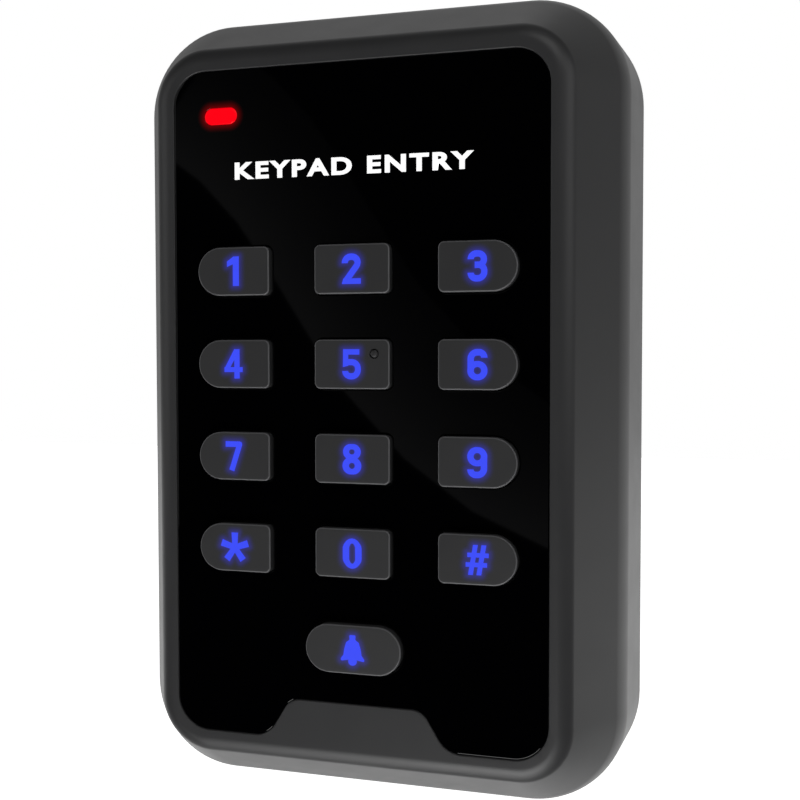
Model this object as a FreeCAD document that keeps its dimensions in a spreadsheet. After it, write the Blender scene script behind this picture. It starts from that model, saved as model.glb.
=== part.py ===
import FreeCAD, Part
import math
import os
import Sketcher

# A keypad access reader, mounted on a wall. Millimetres. +X is to the right, +Z is up, and
# the keys face -Y. The origin is the centre of the wall plate's back face, which is the wall.
# Depths are distances in front of the wall, so a depth of 10 is the plane y = -10.

DIMENSIONS = {
    # case
    "case_width": 78.7,
    "case_height": 122.1,
    "case_corner": 15.0,
    "case_depth": 26.0,
    "case_draft": 2.3,
    "wall_gap": 0.3,
    "bevel_depth": 11.0,
    "bevel_inset": 6.5,
    "bevel_round": 8.0,
    "rim_round": 3.0,
    "back_round": 0.5,
    "cavity_wall": 3.2,
    "cavity_bevel_depth": 7.1,
    "cavity_bevel_inset": 4.3,
    "floor_thick": 2.0,
    # panel and its tape
    "panel_width": 58.3,
    "panel_height": 101.2,
    "panel_corner": 5.15,
    "panel_set": 0.2,
    "panel_thick": 1.5,
    "panel_gap": 0.1,
    "tape_thick": 0.2,
    "tape_inset": 0.6,
    "tab_rise": 6.0,
    "tab_top_width": 20.8,
    "tab_foot_width": 28.2,
    "tab_round": 2.7,
    # keys
    "column_pitch": 19.0,
    "row_pitch": 14.0,
    "top_row_z": 20.2,
    "bell_z": -36.2,
    "key_width": 11.7,
    "bell_width": 15.0,
    "key_height": 7.3,
    "key_corner": 0.9,
    "key_proud": 1.1,
    "key_edge_round": 0.35,
    "key_gap": 0.2,
    "key_flange": 0.9,
    "key_flange_thick": 1.0,
    "pip_radius": 0.6,
    "pip_height": 0.25,
    "pip_x": 3.5,
    "pip_z": 1.55,
    # silicone mat, its domes and their pills
    "web_width": 51.0,
    "web_top_z": 29.5,
    "web_foot_z": -42.3,
    "web_corner": 3.0,
    "web_thick": 1.0,
    "boss_radius": 2.8,
    "boss_height": 3.22,
    "boss_wall": 0.4,
    "skirt_radius": 4.2,
    "skirt_thick": 0.8,
    "skirt_top_rise": 1.3,
    "skirt_inner_rise": 0.9,
    "skirt_foot_drop": 0.1,
    "pill_radius": 2.0,
    "pill_thick": 0.4,
    "pill_clear": 0.82,
    "mat_peg_radius": 0.9,
    "mat_peg_height": 2.4,
    "mat_peg_gap": 0.1,
    # circuit board and the parts on its front
    "board_width": 62.0,
    "board_height": 106.0,
    "board_corner": 4.0,
    "board_thick": 1.6,
    "board_screw_x": 27.5,
    "board_screw_z": 49.0,
    "screw_post_radius": 3.0,
    "screw_post_root": 0.5,
    "board_screw_radius": 1.25,
    "board_screw_hole": 1.5,
    "board_screw_head": 2.5,
    "board_screw_head_thick": 1.4,
    "board_screw_grip": 4.2,
    "board_screw_end_gap": 0.2,
    "cross_length": 2.6,
    "cross_width": 0.6,
    "light_width": 2.0,
    "light_height": 1.25,
    "light_thick": 0.8,
    "light_room": 0.35,
    "lens_x": -21.4,
    "lens_z": 43.6,
    "lens_width": 5.3,
    "lens_height": 2.7,
    "lens_flange": 0.8,
    "lens_flange_thick": 0.9,
    "lens_gap": 0.05,
    "status_width": 3.4,
    "status_height": 2.7,
    "status_thick": 1.8,
    "coil_width": 59.0,
    "coil_height": 81.5,
    "coil_z": -4.75,
    "coil_corner": 8.0,
    "coil_band": 2.4,
    "coil_thick": 2.4,
    # wall plate, seal and grommet
    "plate_thick": 2.5,
    "plate_gap": 0.25,
    "skirt_wall": 1.6,
    "seal_thick": 1.0,
    "seal_gap": 0.1,
    "box_screw_pitch": 83.3,
    "ring_screw_pitch": 60.3,
    "wall_slot_radius": 2.1,
    "wall_slot_length": 7.0,
    "hook_x": 20.0,
    "hook_width": 8.0,
    "hook_arm": 1.5,
    "hook_reach": 6.0,
    "hook_rise": 2.0,
    "hook_clear": 0.35,
    "hook_gap": 0.5,
    "grommet_z": -8.0,
    "grommet_radius": 7.0,
    "grommet_lip": 1.6,
    "grommet_lip_thick": 1.2,
    "cable_radius": 3.3,
    # case screw and its insert
    "tab_width": 11.0,
    "tab_reach": 9.6,
    "tab_block_height": 7.2,
    "tab_clear": 0.3,
    "case_screw_depth": 7.3,
    "case_screw_radius": 1.5,
    "case_screw_hole": 1.75,
    "case_screw_head": 2.75,
    "case_screw_head_thick": 1.6,
    "case_screw_sink": 3.1,
    "case_screw_seat": 1.3,
    "case_screw_length": 6.0,
    "case_screw_socket": 1.25,
    "case_screw_socket_depth": 0.96,
    "case_screw_pin": 0.5,
    "case_screw_pin_sink": 0.15,
    "insert_radius": 2.1,
    "insert_length": 5.0,
    "insert_gap": 0.03,
    "insert_roof": 0.8,
    # parts on the back of the board
    "relay_length": 20.0,
    "relay_width": 10.0,
    "relay_thick": 10.6,
    "relay_x": -15.5,
    "relay_z": -24.5,
    "relay_round": 0.6,
    "buzzer_radius": 6.0,
    "buzzer_thick": 8.5,
    "buzzer_hole": 1.2,
    "buzzer_x": 19.0,
    "buzzer_z": 24.0,
    "capacitor_radius": 4.0,
    "capacitor_thick": 9.8,
    "capacitor_x": 22.0,
    "capacitor_z": -22.0,
    "capacitor_groove_radius": 0.5,
    "capacitor_groove_out": 0.1,
    "capacitor_groove_z": 1.6,
    "terminal_pitch": 3.5,
    "terminal_depth": 7.4,
    "terminal_thick": 8.6,
    "terminal_z": -37.0,
    "terminal_screw": 1.2,
    "terminal_screw_thick": 0.9,
    "terminal_screw_gap": 0.1,
    "terminal_well": 3.0,
    "terminal_slot_length": 1.9,
    "terminal_slot_width": 0.4,
    "terminal_floor": 1.2,
    "wire_hole": 2.2,
    "wire_hole_depth": 5.2,
    "control_side": 10.0,
    "control_thick": 1.4,
    "control_x": 0.0,
    "control_z": 30.0,
    "reader_width": 8.7,
    "reader_height": 3.9,
    "reader_thick": 1.5,
    "reader_x": -18.0,
    "reader_z": 33.0,
    "lead_width": 0.4,
    "lead_reach": 1.0,
    "lead_thick": 0.2,
    "lead_overlap": 0.4,
    "control_pitch": 1.0,
    "reader_pitch": 1.27,
    "crystal_width": 11.0,
    "crystal_height": 4.6,
    "crystal_thick": 3.5,
    "crystal_x": 0.0,
    "crystal_z": 19.5,
    "crystal_round": 0.4,
    "regulator_width": 6.5,
    "regulator_height": 6.1,
    "regulator_thick": 2.3,
    "regulator_x": 21.0,
    "regulator_z": -8.5,
    "regulator_tab": 1.2,
    "regulator_tab_inset": 1.2,
    "regulator_metal": 0.5,
    "regulator_overlap": 0.4,
    "regulator_lead_width": 0.8,
    "regulator_lead_length": 2.8,
    "regulator_lead_x": 2.28,
    "resistor_width": 2.0,
    "resistor_height": 1.25,
    "resistor_thick": 0.5,
    "resistor_x": 3.0,
    "resistor_top_z": 10.0,
    "resistor_pitch": 3.0,
    "header_width": 7.62,
    "header_side": 2.54,
    "header_thick": 2.5,
    "header_pin": 0.64,
    "header_pin_rise": 6.0,
    "header_pin_gap": 0.02,
    "header_x": -19.0,
    "header_z": 8.0,
    "jumper_width": 5.0,
    "jumper_thick": 5.0,
    "tamper_side": 6.0,
    "tamper_thick": 3.5,
    "tamper_x": 17.0,
    "tamper_z": 44.0,
    "plunger_radius": 1.75,
    "plunger_bore": 1.85,
    "plunger_seat": 1.2,
}

# The keypad, row by row: each key's name with its column and its row, counted from the top.
KEYS = {
    "1": (-1, 0),
    "2": (0, 0),
    "3": (1, 0),
    "4": (-1, 1),
    "5": (0, 1),
    "6": (1, 1),
    "7": (-1, 2),
    "8": (0, 2),
    "9": (1, 2),
    "star": (-1, 3),
    "0": (0, 3),
    "hash": (1, 3),
}
COLUMNS = (-1, 0, 1)
ROWS = 4
PEG_ROWS = ROWS - 1

TERMINALS = 8
RESISTORS_IN_ROW = 5

# Depths of the planes in the stack, as expressions of the sheet's cells.
RIM = "Dims.case_depth"
PANEL_FRONT = "(Dims.case_depth - Dims.panel_set)"
PANEL_BACK = f"({PANEL_FRONT} - Dims.panel_thick)"
FLOOR_FRONT = f"({PANEL_BACK} - Dims.tape_thick)"
FLOOR_BACK = f"({FLOOR_FRONT} - Dims.floor_thick)"
KEY_BACK = f"({FLOOR_BACK} - Dims.key_flange_thick)"
BOARD_FRONT = f"({KEY_BACK} - Dims.boss_height)"
BOARD_BACK = f"({BOARD_FRONT} - Dims.board_thick)"
LEDGE = "(Dims.plate_thick + Dims.seal_thick)"

# Half sizes of the cavity and of the pocket that the wall plate sits in.
CAVITY_HALF_HEIGHT = "(Dims.case_height / 2 - Dims.cavity_wall)"
POCKET_WIDTH = "(Dims.case_width - 2 * Dims.skirt_wall)"
POCKET_HEIGHT = "(Dims.case_height - 2 * Dims.skirt_wall)"
POCKET_CORNER = "(Dims.case_corner - Dims.skirt_wall)"
CAVITY_WIDTH = "(Dims.case_width - 2 * Dims.cavity_wall)"
CAVITY_HEIGHT = "(Dims.case_height - 2 * Dims.cavity_wall)"
CAVITY_CORNER = "(Dims.case_corner - Dims.cavity_wall)"

WALL_PLANE = "XZ_Plane"
LEVEL_PLANE = "XY_Plane"
SIDE_PLANE = "YZ_Plane"

Vector = FreeCAD.Vector
SAME_PLACE = 1e-3
OVERSHOOT = "1"
EDGE_ROOM = 1.0

document = FreeCAD.newDocument("AccessReader")
sheet = document.addObject("Spreadsheet::Sheet", "Dims")
for row, (alias, size) in enumerate(DIMENSIONS.items(), start=1):
    sheet.set(f"A{row}", alias)
    sheet.set(f"B{row}", str(size))
    sheet.setAlias(f"B{row}", alias)
document.recompute()

nodes = []


def value(expression):
    """The number that an expression of the sheet's cells gives."""
    return float(sheet.evalExpression(expression))


def node(thing, label):
    """Names a finished sub-part, and keeps it to be written."""
    thing.Label = label
    nodes.append(thing)
    return thing


# ---------------------------------------------------------------- sketches and features


def new_body(label):
    body = document.addObject("PartDesign::Body", label)
    return node(body, label)


def origin_plane(body, role):
    return next(feature for feature in body.Origin.OriginFeatures if feature.Role == role)


def new_sketch(body, offset="0", role=WALL_PLANE):
    """A sketch on a plane of the body's origin, moved along its normal by an expression."""
    sketch = body.newObject("Sketcher::SketchObject", "Sketch")
    sketch.AttachmentSupport = [(origin_plane(body, role), "")]
    sketch.MapMode = "FlatFace"
    sketch.setExpression("AttachmentOffset.Base.z", offset)
    return sketch


def bind(sketch, kind, *where, size):
    """Adds a dimension to a sketch and ties it to an expression."""
    index = sketch.addConstraint(Sketcher.Constraint(kind, *where, value(size)))
    sketch.setExpression(f"Constraints[{index}]", size)


def relate(sketch, kind, *where):
    sketch.addConstraint(Sketcher.Constraint(kind, *where))


def line(sketch, start, end):
    segment = Part.LineSegment(Vector(*start, 0), Vector(*end, 0))
    return sketch.addGeometry(segment, False)


def arc(sketch, centre, radius, first_degrees, last_degrees):
    circle = Part.Circle(Vector(*centre, 0), Vector(0, 0, 1), radius)
    span = (math.radians(first_degrees), math.radians(last_degrees))
    return sketch.addGeometry(Part.ArcOfCircle(circle, *span), False)


def outline(sketch, width, height, corner, x="0", z="0", round_left=False, round_right=False):
    """A rectangle with rounded corners, either end of which can be a half circle instead."""
    middle_x, middle_z = value(x), value(z)
    half_width, half_height = value(width) / 2, value(height) / 2
    radius = value(corner)
    low, high = middle_z - half_height, middle_z + half_height
    insets = {
        -1: half_height if round_left else radius,
        1: half_height if round_right else radius,
    }
    left = middle_x - half_width + insets[-1]
    right = middle_x + half_width - insets[1]
    top = line(sketch, (left, high), (right, high))
    foot = line(sketch, (right, low), (left, low))
    relate(sketch, "Horizontal", top)
    relate(sketch, "Horizontal", foot)
    anchors = {}
    for side, is_round in ((1, round_right), (-1, round_left)):
        top_end, foot_end = (2, 1) if side == 1 else (1, 2)
        inner = middle_x + side * (half_width - insets[side])
        if is_round:
            turn = (-90, 90) if side == 1 else (90, 270)
            end = arc(sketch, (inner, middle_z), half_height, *turn)
            relate(sketch, "Tangent", top, top_end, end, top_end)
            relate(sketch, "Tangent", end, foot_end, foot, foot_end)
            anchors[side] = (end, 3)
            continue
        edge = middle_x + side * half_width
        upright = line(sketch, (edge, low + radius), (edge, high - radius))
        upper_turn, lower_turn = ((0, 90), (-90, 0)) if side == 1 else ((90, 180), (180, 270))
        upper = arc(sketch, (inner, high - radius), radius, *upper_turn)
        lower = arc(sketch, (inner, low + radius), radius, *lower_turn)
        relate(sketch, "Tangent", top, top_end, upper, top_end)
        relate(sketch, "Tangent", upper, foot_end, upright, 2)
        relate(sketch, "Tangent", upright, 1, lower, top_end)
        relate(sketch, "Tangent", lower, foot_end, foot, foot_end)
        relate(sketch, "Vertical", upright)
        relate(sketch, "Equal", upper, lower)
        bind(sketch, "Radius", upper, size=corner)
        anchors[side] = (upright, 1)
    ends = " - ".join([width] + [f"{height} / 2"] * (round_left + round_right))
    start = f"{x} - {width} / 2" + (f" + {height} / 2" if round_left else "")
    bind(sketch, "DistanceX", *anchors[-1], *anchors[1], size=ends)
    bind(sketch, "DistanceY", foot, 1, top, 2, size=height)
    bind(sketch, "DistanceX", -1, 1, *anchors[-1], size=start)
    bind(sketch, "DistanceY", -1, 1, foot, 2, size=f"{z} - {height} / 2")


def ring(sketch, radius, x="0", z="0"):
    """A circle."""
    centre = Vector(value(x), value(z), 0)
    circle = sketch.addGeometry(Part.Circle(centre, Vector(0, 0, 1), value(radius)), False)
    bind(sketch, "Radius", circle, size=radius)
    bind(sketch, "DistanceX", -1, 1, circle, 3, size=x)
    bind(sketch, "DistanceY", -1, 1, circle, 3, size=z)


def polygon(sketch, corners):
    """A closed outline of straight lines through corners given as pairs of expressions."""
    points = [(value(across), value(along)) for across, along in corners]
    sides = [line(sketch, points[k - 1], points[k]) for k in range(len(points))]
    for k, (side, (across, along)) in enumerate(zip(sides, corners)):
        following = sides[(k + 1) % len(sides)]
        relate(sketch, "Coincident", side, 2, following, 1)
        bind(sketch, "DistanceX", -1, 1, side, 2, size=across)
        bind(sketch, "DistanceY", -1, 1, side, 2, size=along)


def extrude(body, kind, sketch, length, backwards=False):
    """A pad or a pocket. A pad must add volume and a pocket must remove it."""
    document.recompute()
    before = body.Shape.Volume if body.Tip else 0.0
    feature = body.newObject(kind, kind.split("::")[1])
    feature.Profile = sketch
    feature.setExpression("Length", length)
    feature.Reversed = backwards
    document.recompute()
    change = feature.Shape.Volume - before
    expected = change < 0 if kind.endswith("Pocket") else change > 0
    if not expected:
        raise ValueError(f"{body.Label}: {feature.Name} changes the volume by {change:.3f}")
    return feature


def pad(body, sketch, length, backwards=False):
    return extrude(body, "PartDesign::Pad", sketch, length, backwards)


def pocket(body, sketch, length, backwards=False):
    return extrude(body, "PartDesign::Pocket", sketch, length, backwards)


def repeat_rows(body, feature, sketch, rows=f"{ROWS}"):
    """Repeats a feature downwards, one for each row of keys."""
    pattern = body.newObject("PartDesign::LinearPattern", "Rows")
    pattern.Originals = [feature]
    pattern.Direction = (sketch, ["V_Axis"])
    pattern.Reversed = True
    pattern.setExpression("Length", f"({rows} - 1) * Dims.row_pitch")
    pattern.setExpression("Occurrences", rows)
    body.Tip = pattern
    document.recompute()
    return pattern


def edges_where(shape, test):
    """The names of a shape's edges that pass a test."""
    return [f"Edge{k}" for k, edge in enumerate(shape.Edges, start=1) if test(edge)]


def at_depth(depth):
    """A test for edges that lie in the plane at a depth."""
    plane_y = -value(depth)

    def test(edge):
        box = edge.BoundBox
        return abs(box.YMin - plane_y) < SAME_PLACE and abs(box.YMax - plane_y) < SAME_PLACE

    return test


def upright_within(half_width, z_low, z_high):
    """A test for straight edges along the depth whose middles lie inside a window."""

    def test(edge):
        box = edge.BoundBox
        runs_deep = box.XLength < SAME_PLACE and box.ZLength < SAME_PLACE
        return runs_deep and abs(box.XMin) < half_width and z_low < box.ZMin < z_high

    return test


def fillet(body, feature, edges, radius):
    rounding = body.newObject("PartDesign::Fillet", "Fillet")
    rounding.Base = (feature, edges)
    rounding.setExpression("Radius", radius)
    document.recompute()
    return rounding


def chamfer(body, feature, edges, first, second, flip=False):
    cut = body.newObject("PartDesign::Chamfer", "Chamfer")
    cut.Base = (feature, edges)
    cut.ChamferType = "Two distances"
    cut.setExpression("Size", first)
    cut.setExpression("Size2", second)
    cut.FlipDirection = flip
    document.recompute()
    return cut


# ---------------------------------------------------------------- plain solids


def place(thing, x, depth, z):
    """Binds a plain solid's corner or centre to a place given in expressions."""
    thing.setExpression("Placement.Base.x", x)
    thing.setExpression("Placement.Base.y", f"-({depth})")
    thing.setExpression("Placement.Base.z", z)
    return thing


def block(name, width, thick, height, x, depth, z):
    """A box centred on x and z, whose face nearest the wall is at a depth."""
    box = document.addObject("Part::Box", name)
    box.setExpression("Length", width)
    box.setExpression("Width", thick)
    box.setExpression("Height", height)
    return place(box, f"{x} - {width} / 2", f"{depth} + {thick}", f"{z} - {height} / 2")


def disc(name, radius, thick, x, depth, z):
    """A cylinder along Y, centred on x and z, whose end nearest the wall is at a depth."""
    cylinder = document.addObject("Part::Cylinder", name)
    cylinder.setExpression("Radius", radius)
    cylinder.setExpression("Height", thick)
    cylinder.Placement.Rotation = FreeCAD.Rotation(Vector(1, 0, 0), 90)
    return place(cylinder, x, depth, z)


def cut(name, base, tool):
    result = document.addObject("Part::Cut", name)
    result.Base = base
    result.Tool = tool
    return result


def fuse(name, pieces):
    result = document.addObject("Part::MultiFuse", name)
    result.Shapes = pieces
    return result


def group(name, pieces):
    """Separate solids that make one node."""
    result = document.addObject("Part::Compound", name)
    result.Links = pieces
    return result


# ---------------------------------------------------------------- keys


def key_ends(column):
    """Which ends of a key are half circles: the outer ends of the outer columns."""
    return {"round_left": column == -1, "round_right": column == 1}


def row_z(row):
    return f"(Dims.top_row_z - {row} * Dims.row_pitch)"


def column_x(column):
    return f"({column} * Dims.column_pitch)"


def key_places():
    """Each key's name, its centre as expressions, its width and the shape of its ends."""
    for name, (column, row) in KEYS.items():
        yield name, column_x(column), row_z(row), "Dims.key_width", key_ends(column)
    both_round = {"round_left": True, "round_right": True}
    yield "bell", "0", "Dims.bell_z", "Dims.bell_width", both_round


def cut_key_windows(body, depth, length, gap, backwards=False):
    """Cuts a window for every key, a gap wider than the key all round."""
    height = f"(Dims.key_height + 2 * {gap})"
    corner = f"(Dims.key_corner + {gap})"
    for column in COLUMNS:
        sketch = new_sketch(body, depth)
        width = f"(Dims.key_width + 2 * {gap})"
        place_at = (column_x(column), row_z(0))
        outline(sketch, width, height, corner, *place_at, **key_ends(column))
        window = pocket(body, sketch, length, backwards)
        repeat_rows(body, window, sketch)
    sketch = new_sketch(body, depth)
    width = f"(Dims.bell_width + 2 * {gap})"
    outline(sketch, width, height, corner, "0", "Dims.bell_z", True, True)
    pocket(body, sketch, length, backwards)


def make_keycap(name, x, z, width, ends):
    """A moulded key: a face that stands proud of the panel, and a flange behind the floor."""
    body = new_body(f"keycap_{name}")
    body.setExpression("Placement.Base.x", x)
    body.setExpression("Placement.Base.z", z)
    stem = new_sketch(body, KEY_BACK)
    outline(stem, width, "Dims.key_height", "Dims.key_corner", **ends)
    face_depth = f"{PANEL_FRONT} + Dims.key_proud"
    face = pad(body, stem, f"{face_depth} - {KEY_BACK}")
    face_edges = edges_where(face.Shape, at_depth(face_depth))
    fillet(body, face, face_edges, "Dims.key_edge_round")
    flange = new_sketch(body, KEY_BACK)
    grown = "2 * Dims.key_flange"
    flange_size = (f"({width} + {grown})", f"(Dims.key_height + {grown})")
    outline(flange, *flange_size, "(Dims.key_corner + Dims.key_flange)", **ends)
    pad(body, flange, "Dims.key_flange_thick")
    if name == "5":
        pip = new_sketch(body, face_depth)
        ring(pip, "Dims.pip_radius", "Dims.pip_x", "Dims.pip_z")
        pad(body, pip, "Dims.pip_height")


def make_pill(name, x, z):
    """The conductive pill in the foot of a key's dome."""
    depth = f"{BOARD_FRONT} + Dims.pill_clear"
    node(disc("Pill", "Dims.pill_radius", "Dims.pill_thick", x, depth, z), f"contact_pill_{name}")


def make_mat():
    """The silicone mat: a flat web with a skirted dome and a boss under every key."""
    body = new_body("keypad_mat")
    web = new_sketch(body, BOARD_FRONT)
    web_height = "(Dims.web_top_z - Dims.web_foot_z)"
    web_middle = "(Dims.web_top_z + Dims.web_foot_z) / 2"
    outline(web, "Dims.web_width", web_height, "Dims.web_corner", "0", web_middle)
    pad(body, web, "Dims.web_thick")
    well = "(Dims.skirt_radius + Dims.skirt_thick / 2)"
    for x, z, rows in dome_columns():
        wells = new_sketch(body, BOARD_FRONT)
        ring(wells, well, x, z)
        hole = pocket(body, wells, "Dims.web_thick", backwards=True)
        if rows > 1:
            repeat_rows(body, hole, wells)
    for x, z, rows in dome_columns():
        lights = new_sketch(body, BOARD_FRONT)
        room = "2 * Dims.light_room"
        size = (f"(Dims.light_width + {room})", f"(Dims.light_height + {room})")
        outline(lights, *size, "Dims.light_room", x, light_z(z))
        hole = pocket(body, lights, "Dims.web_thick", backwards=True)
        if rows > 1:
            repeat_rows(body, hole, lights)
    for x, z, rows in dome_columns():
        dome = make_dome(body, x, z)
        if rows > 1:
            repeat_dome_rows(body, dome)
    for side in (-1, 1):
        pegs = new_sketch(body, f"{BOARD_FRONT} + {OVERSHOOT} / 2")
        ring(pegs, "Dims.mat_peg_radius", peg_x(side), peg_z())
        peg = pad(body, pegs, f"Dims.mat_peg_height + {OVERSHOOT} / 2", backwards=True)
        repeat_rows(body, peg, pegs, rows=f"{PEG_ROWS}")


def dome_columns():
    """Each column of domes: its x, its first row's z and how many rows it has."""
    for column in COLUMNS:
        yield column_x(column), row_z(0), ROWS
    yield "0", "Dims.bell_z", 1


def light_z(key_z):
    """A key's light sits half a row above it."""
    return f"({key_z} + Dims.row_pitch / 2)"


def peg_x(side):
    """The mat's pegs stand between the columns of keys."""
    return f"({side} * Dims.column_pitch / 2)"


def peg_z():
    return "(Dims.top_row_z - Dims.row_pitch / 2)"


def make_dome(body, x, z):
    """One dome, turned about the key's axis from half of its section."""
    sketch = new_sketch(body, z, LEVEL_PLANE)

    def at(radius, height):
        return f"{x} + {radius}", f"-({BOARD_FRONT} + {height})"

    foot = "(Dims.skirt_radius + Dims.skirt_thick)"
    hollow = "(Dims.boss_radius - Dims.boss_wall)"
    pill_top = "Dims.pill_clear + Dims.pill_thick"
    polygon(
        sketch,
        [
            at("0", pill_top),
            at(hollow, pill_top),
            at(hollow, "Dims.web_thick + Dims.skirt_inner_rise"),
            at("Dims.skirt_radius", "Dims.web_thick - Dims.skirt_foot_drop"),
            at("Dims.skirt_radius", "0"),
            at(foot, "0"),
            at(foot, "Dims.web_thick"),
            at("Dims.boss_radius", "Dims.web_thick + Dims.skirt_top_rise"),
            at("Dims.boss_radius", "Dims.boss_height"),
            at("0", "Dims.boss_height"),
        ],
    )
    document.recompute()
    dome = body.newObject("PartDesign::Revolution", "Dome")
    dome.Profile = sketch
    dome.ReferenceAxis = (sketch, ["Edge1"])
    dome.Angle = 360
    document.recompute()
    return dome


def repeat_dome_rows(body, dome):
    pattern = body.newObject("PartDesign::LinearPattern", "Rows")
    pattern.Originals = [dome]
    pattern.Direction = (origin_plane(body, "Z_Axis"), [""])
    pattern.Reversed = True
    pattern.setExpression("Length", f"({ROWS} - 1) * Dims.row_pitch")
    pattern.Occurrences = ROWS
    body.Tip = pattern
    document.recompute()


# ---------------------------------------------------------------- case


def tab_outline(sketch, gap):
    """The tab at the foot of the panel's recess, with its sides sloping outwards."""
    foot_z = "(-Dims.panel_height / 2)"
    top_z = f"({foot_z} + Dims.tab_rise + {gap})"
    slope = "(Dims.tab_foot_width - Dims.tab_top_width) / 2 / Dims.tab_rise"
    top_half = f"(Dims.tab_top_width / 2 + {gap})"
    low_z = f"({foot_z} - {OVERSHOOT})"
    foot_half = f"(Dims.tab_foot_width / 2 + {gap} + {slope} * {OVERSHOOT})"
    polygon(
        sketch,
        [
            (f"-{top_half}", top_z),
            (top_half, top_z),
            (foot_half, low_z),
            (f"-{foot_half}", low_z),
        ],
    )


def round_tab(body, feature):
    """Rounds the tab's two top corners and the two hollows at its foot."""
    foot = -value("Dims.panel_height") / 2
    half_width = value("Dims.tab_foot_width") / 2 + 2 * EDGE_ROOM
    top = foot + value("Dims.tab_rise")
    window = upright_within(half_width, foot - EDGE_ROOM, top + EDGE_ROOM)
    return fillet(body, feature, edges_where(feature.Shape, window), "Dims.tab_round")


def make_housing():
    """The front case: a drafted, bevelled block, hollow from behind, with the panel's recess."""
    body = new_body("front_housing")
    back = new_sketch(body, "Dims.wall_gap")
    outline(back, "Dims.case_width", "Dims.case_height", "Dims.case_corner")
    block_pad = pad(body, back, "Dims.case_depth - Dims.wall_gap")
    block_pad.setExpression("TaperAngle", "-Dims.case_draft")
    document.recompute()
    rim_edges = edges_where(block_pad.Shape, at_depth(RIM))
    bevel = chamfer(body, block_pad, rim_edges, "Dims.bevel_depth", "Dims.bevel_inset")
    wall_side = -value("Dims.wall_gap") - EDGE_ROOM
    bevel_foot = max(
        edge.BoundBox.YMin
        for edge in bevel.Shape.Edges
        if edge.BoundBox.YLength < SAME_PLACE and edge.BoundBox.YMin < wall_side
    )
    shoulder = fillet(
        body, bevel, edges_where(bevel.Shape, at_depth(f"{-bevel_foot}")), "Dims.bevel_round"
    )
    rim = fillet(body, shoulder, edges_where(shoulder.Shape, at_depth(RIM)), "Dims.rim_round")
    fillet(body, rim, edges_where(rim.Shape, at_depth("Dims.wall_gap")), "Dims.back_round")
    make_recess(body)
    make_cavity(body)
    cut_key_windows(body, FLOOR_FRONT, f"Dims.floor_thick + {OVERSHOOT}", "Dims.key_gap")
    lens = new_sketch(body, FLOOR_FRONT)
    lens_outline(lens, "Dims.lens_gap")
    pocket(body, lens, f"Dims.floor_thick + {OVERSHOOT}")
    make_screw_posts(body)
    make_hook_slots(body)
    make_case_screw_hole(body)


def lens_outline(sketch, gap):
    size = (f"(Dims.lens_width + 2 * {gap})", f"(Dims.lens_height + 2 * {gap})")
    outline(sketch, *size, "0", "Dims.lens_x", "Dims.lens_z", True, True)


def make_recess(body):
    recess = new_sketch(body, RIM)
    size = ("(Dims.panel_width + 2 * Dims.panel_gap)", "(Dims.panel_height + 2 * Dims.panel_gap)")
    outline(recess, *size, "(Dims.panel_corner + Dims.panel_gap)")
    pocket(body, recess, f"{RIM} - {FLOOR_FRONT}")
    tab = new_sketch(body, f"{FLOOR_FRONT} - {OVERSHOOT} / 2")
    tab_outline(tab, "0")
    tab_pad = pad(body, tab, f"{RIM} - {FLOOR_FRONT} + {OVERSHOOT} / 2")
    round_tab(body, tab_pad)


def make_cavity(body):
    """The hollow for the board, whose walls follow the bevel, and the wall plate's pocket."""
    hollow = new_sketch(body)
    outline(hollow, CAVITY_WIDTH, CAVITY_HEIGHT, CAVITY_CORNER)
    straight_depth = f"({FLOOR_BACK} - Dims.cavity_bevel_depth)"
    pocket(body, hollow, straight_depth, backwards=True)
    wide = new_sketch(body, straight_depth)
    outline(wide, CAVITY_WIDTH, CAVITY_HEIGHT, CAVITY_CORNER)
    narrow = new_sketch(body, FLOOR_BACK)
    inset = "2 * Dims.cavity_bevel_inset"
    size = (f"({CAVITY_WIDTH} - {inset})", f"({CAVITY_HEIGHT} - {inset})")
    outline(narrow, *size, f"({CAVITY_CORNER} - Dims.cavity_bevel_inset)")
    document.recompute()
    before = body.Shape.Volume
    taper = body.newObject("PartDesign::SubtractiveLoft", "Taper")
    taper.Profile = wide
    taper.Sections = [narrow]
    taper.Ruled = True
    document.recompute()
    if taper.Shape.Volume >= before:
        raise ValueError("the cavity's taper removes nothing")
    plate = new_sketch(body)
    outline(plate, POCKET_WIDTH, POCKET_HEIGHT, POCKET_CORNER)
    pocket(body, plate, LEDGE, backwards=True)


def screw_places():
    for side in (-1, 1):
        for end in (-1, 1):
            yield f"({side} * Dims.board_screw_x)", f"({end} * Dims.board_screw_z)"


def make_screw_posts(body):
    """Four posts that the board screws into."""
    length = f"{FLOOR_BACK} - {BOARD_FRONT} + Dims.screw_post_root"
    for x, z in screw_places():
        post = new_sketch(body, BOARD_FRONT)
        ring(post, "Dims.screw_post_radius", x, z)
        pad(body, post, length)
        pilot = new_sketch(body, BOARD_FRONT)
        ring(pilot, "Dims.board_screw_radius", x, z)
        pocket(body, pilot, "Dims.board_screw_grip", backwards=True)


def hook_depths():
    """The depths of the wall side and the front side of the hooks' noses."""
    front = "(Dims.plate_thick + Dims.hook_reach)"
    return f"({front} - Dims.hook_arm)", front


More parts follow.
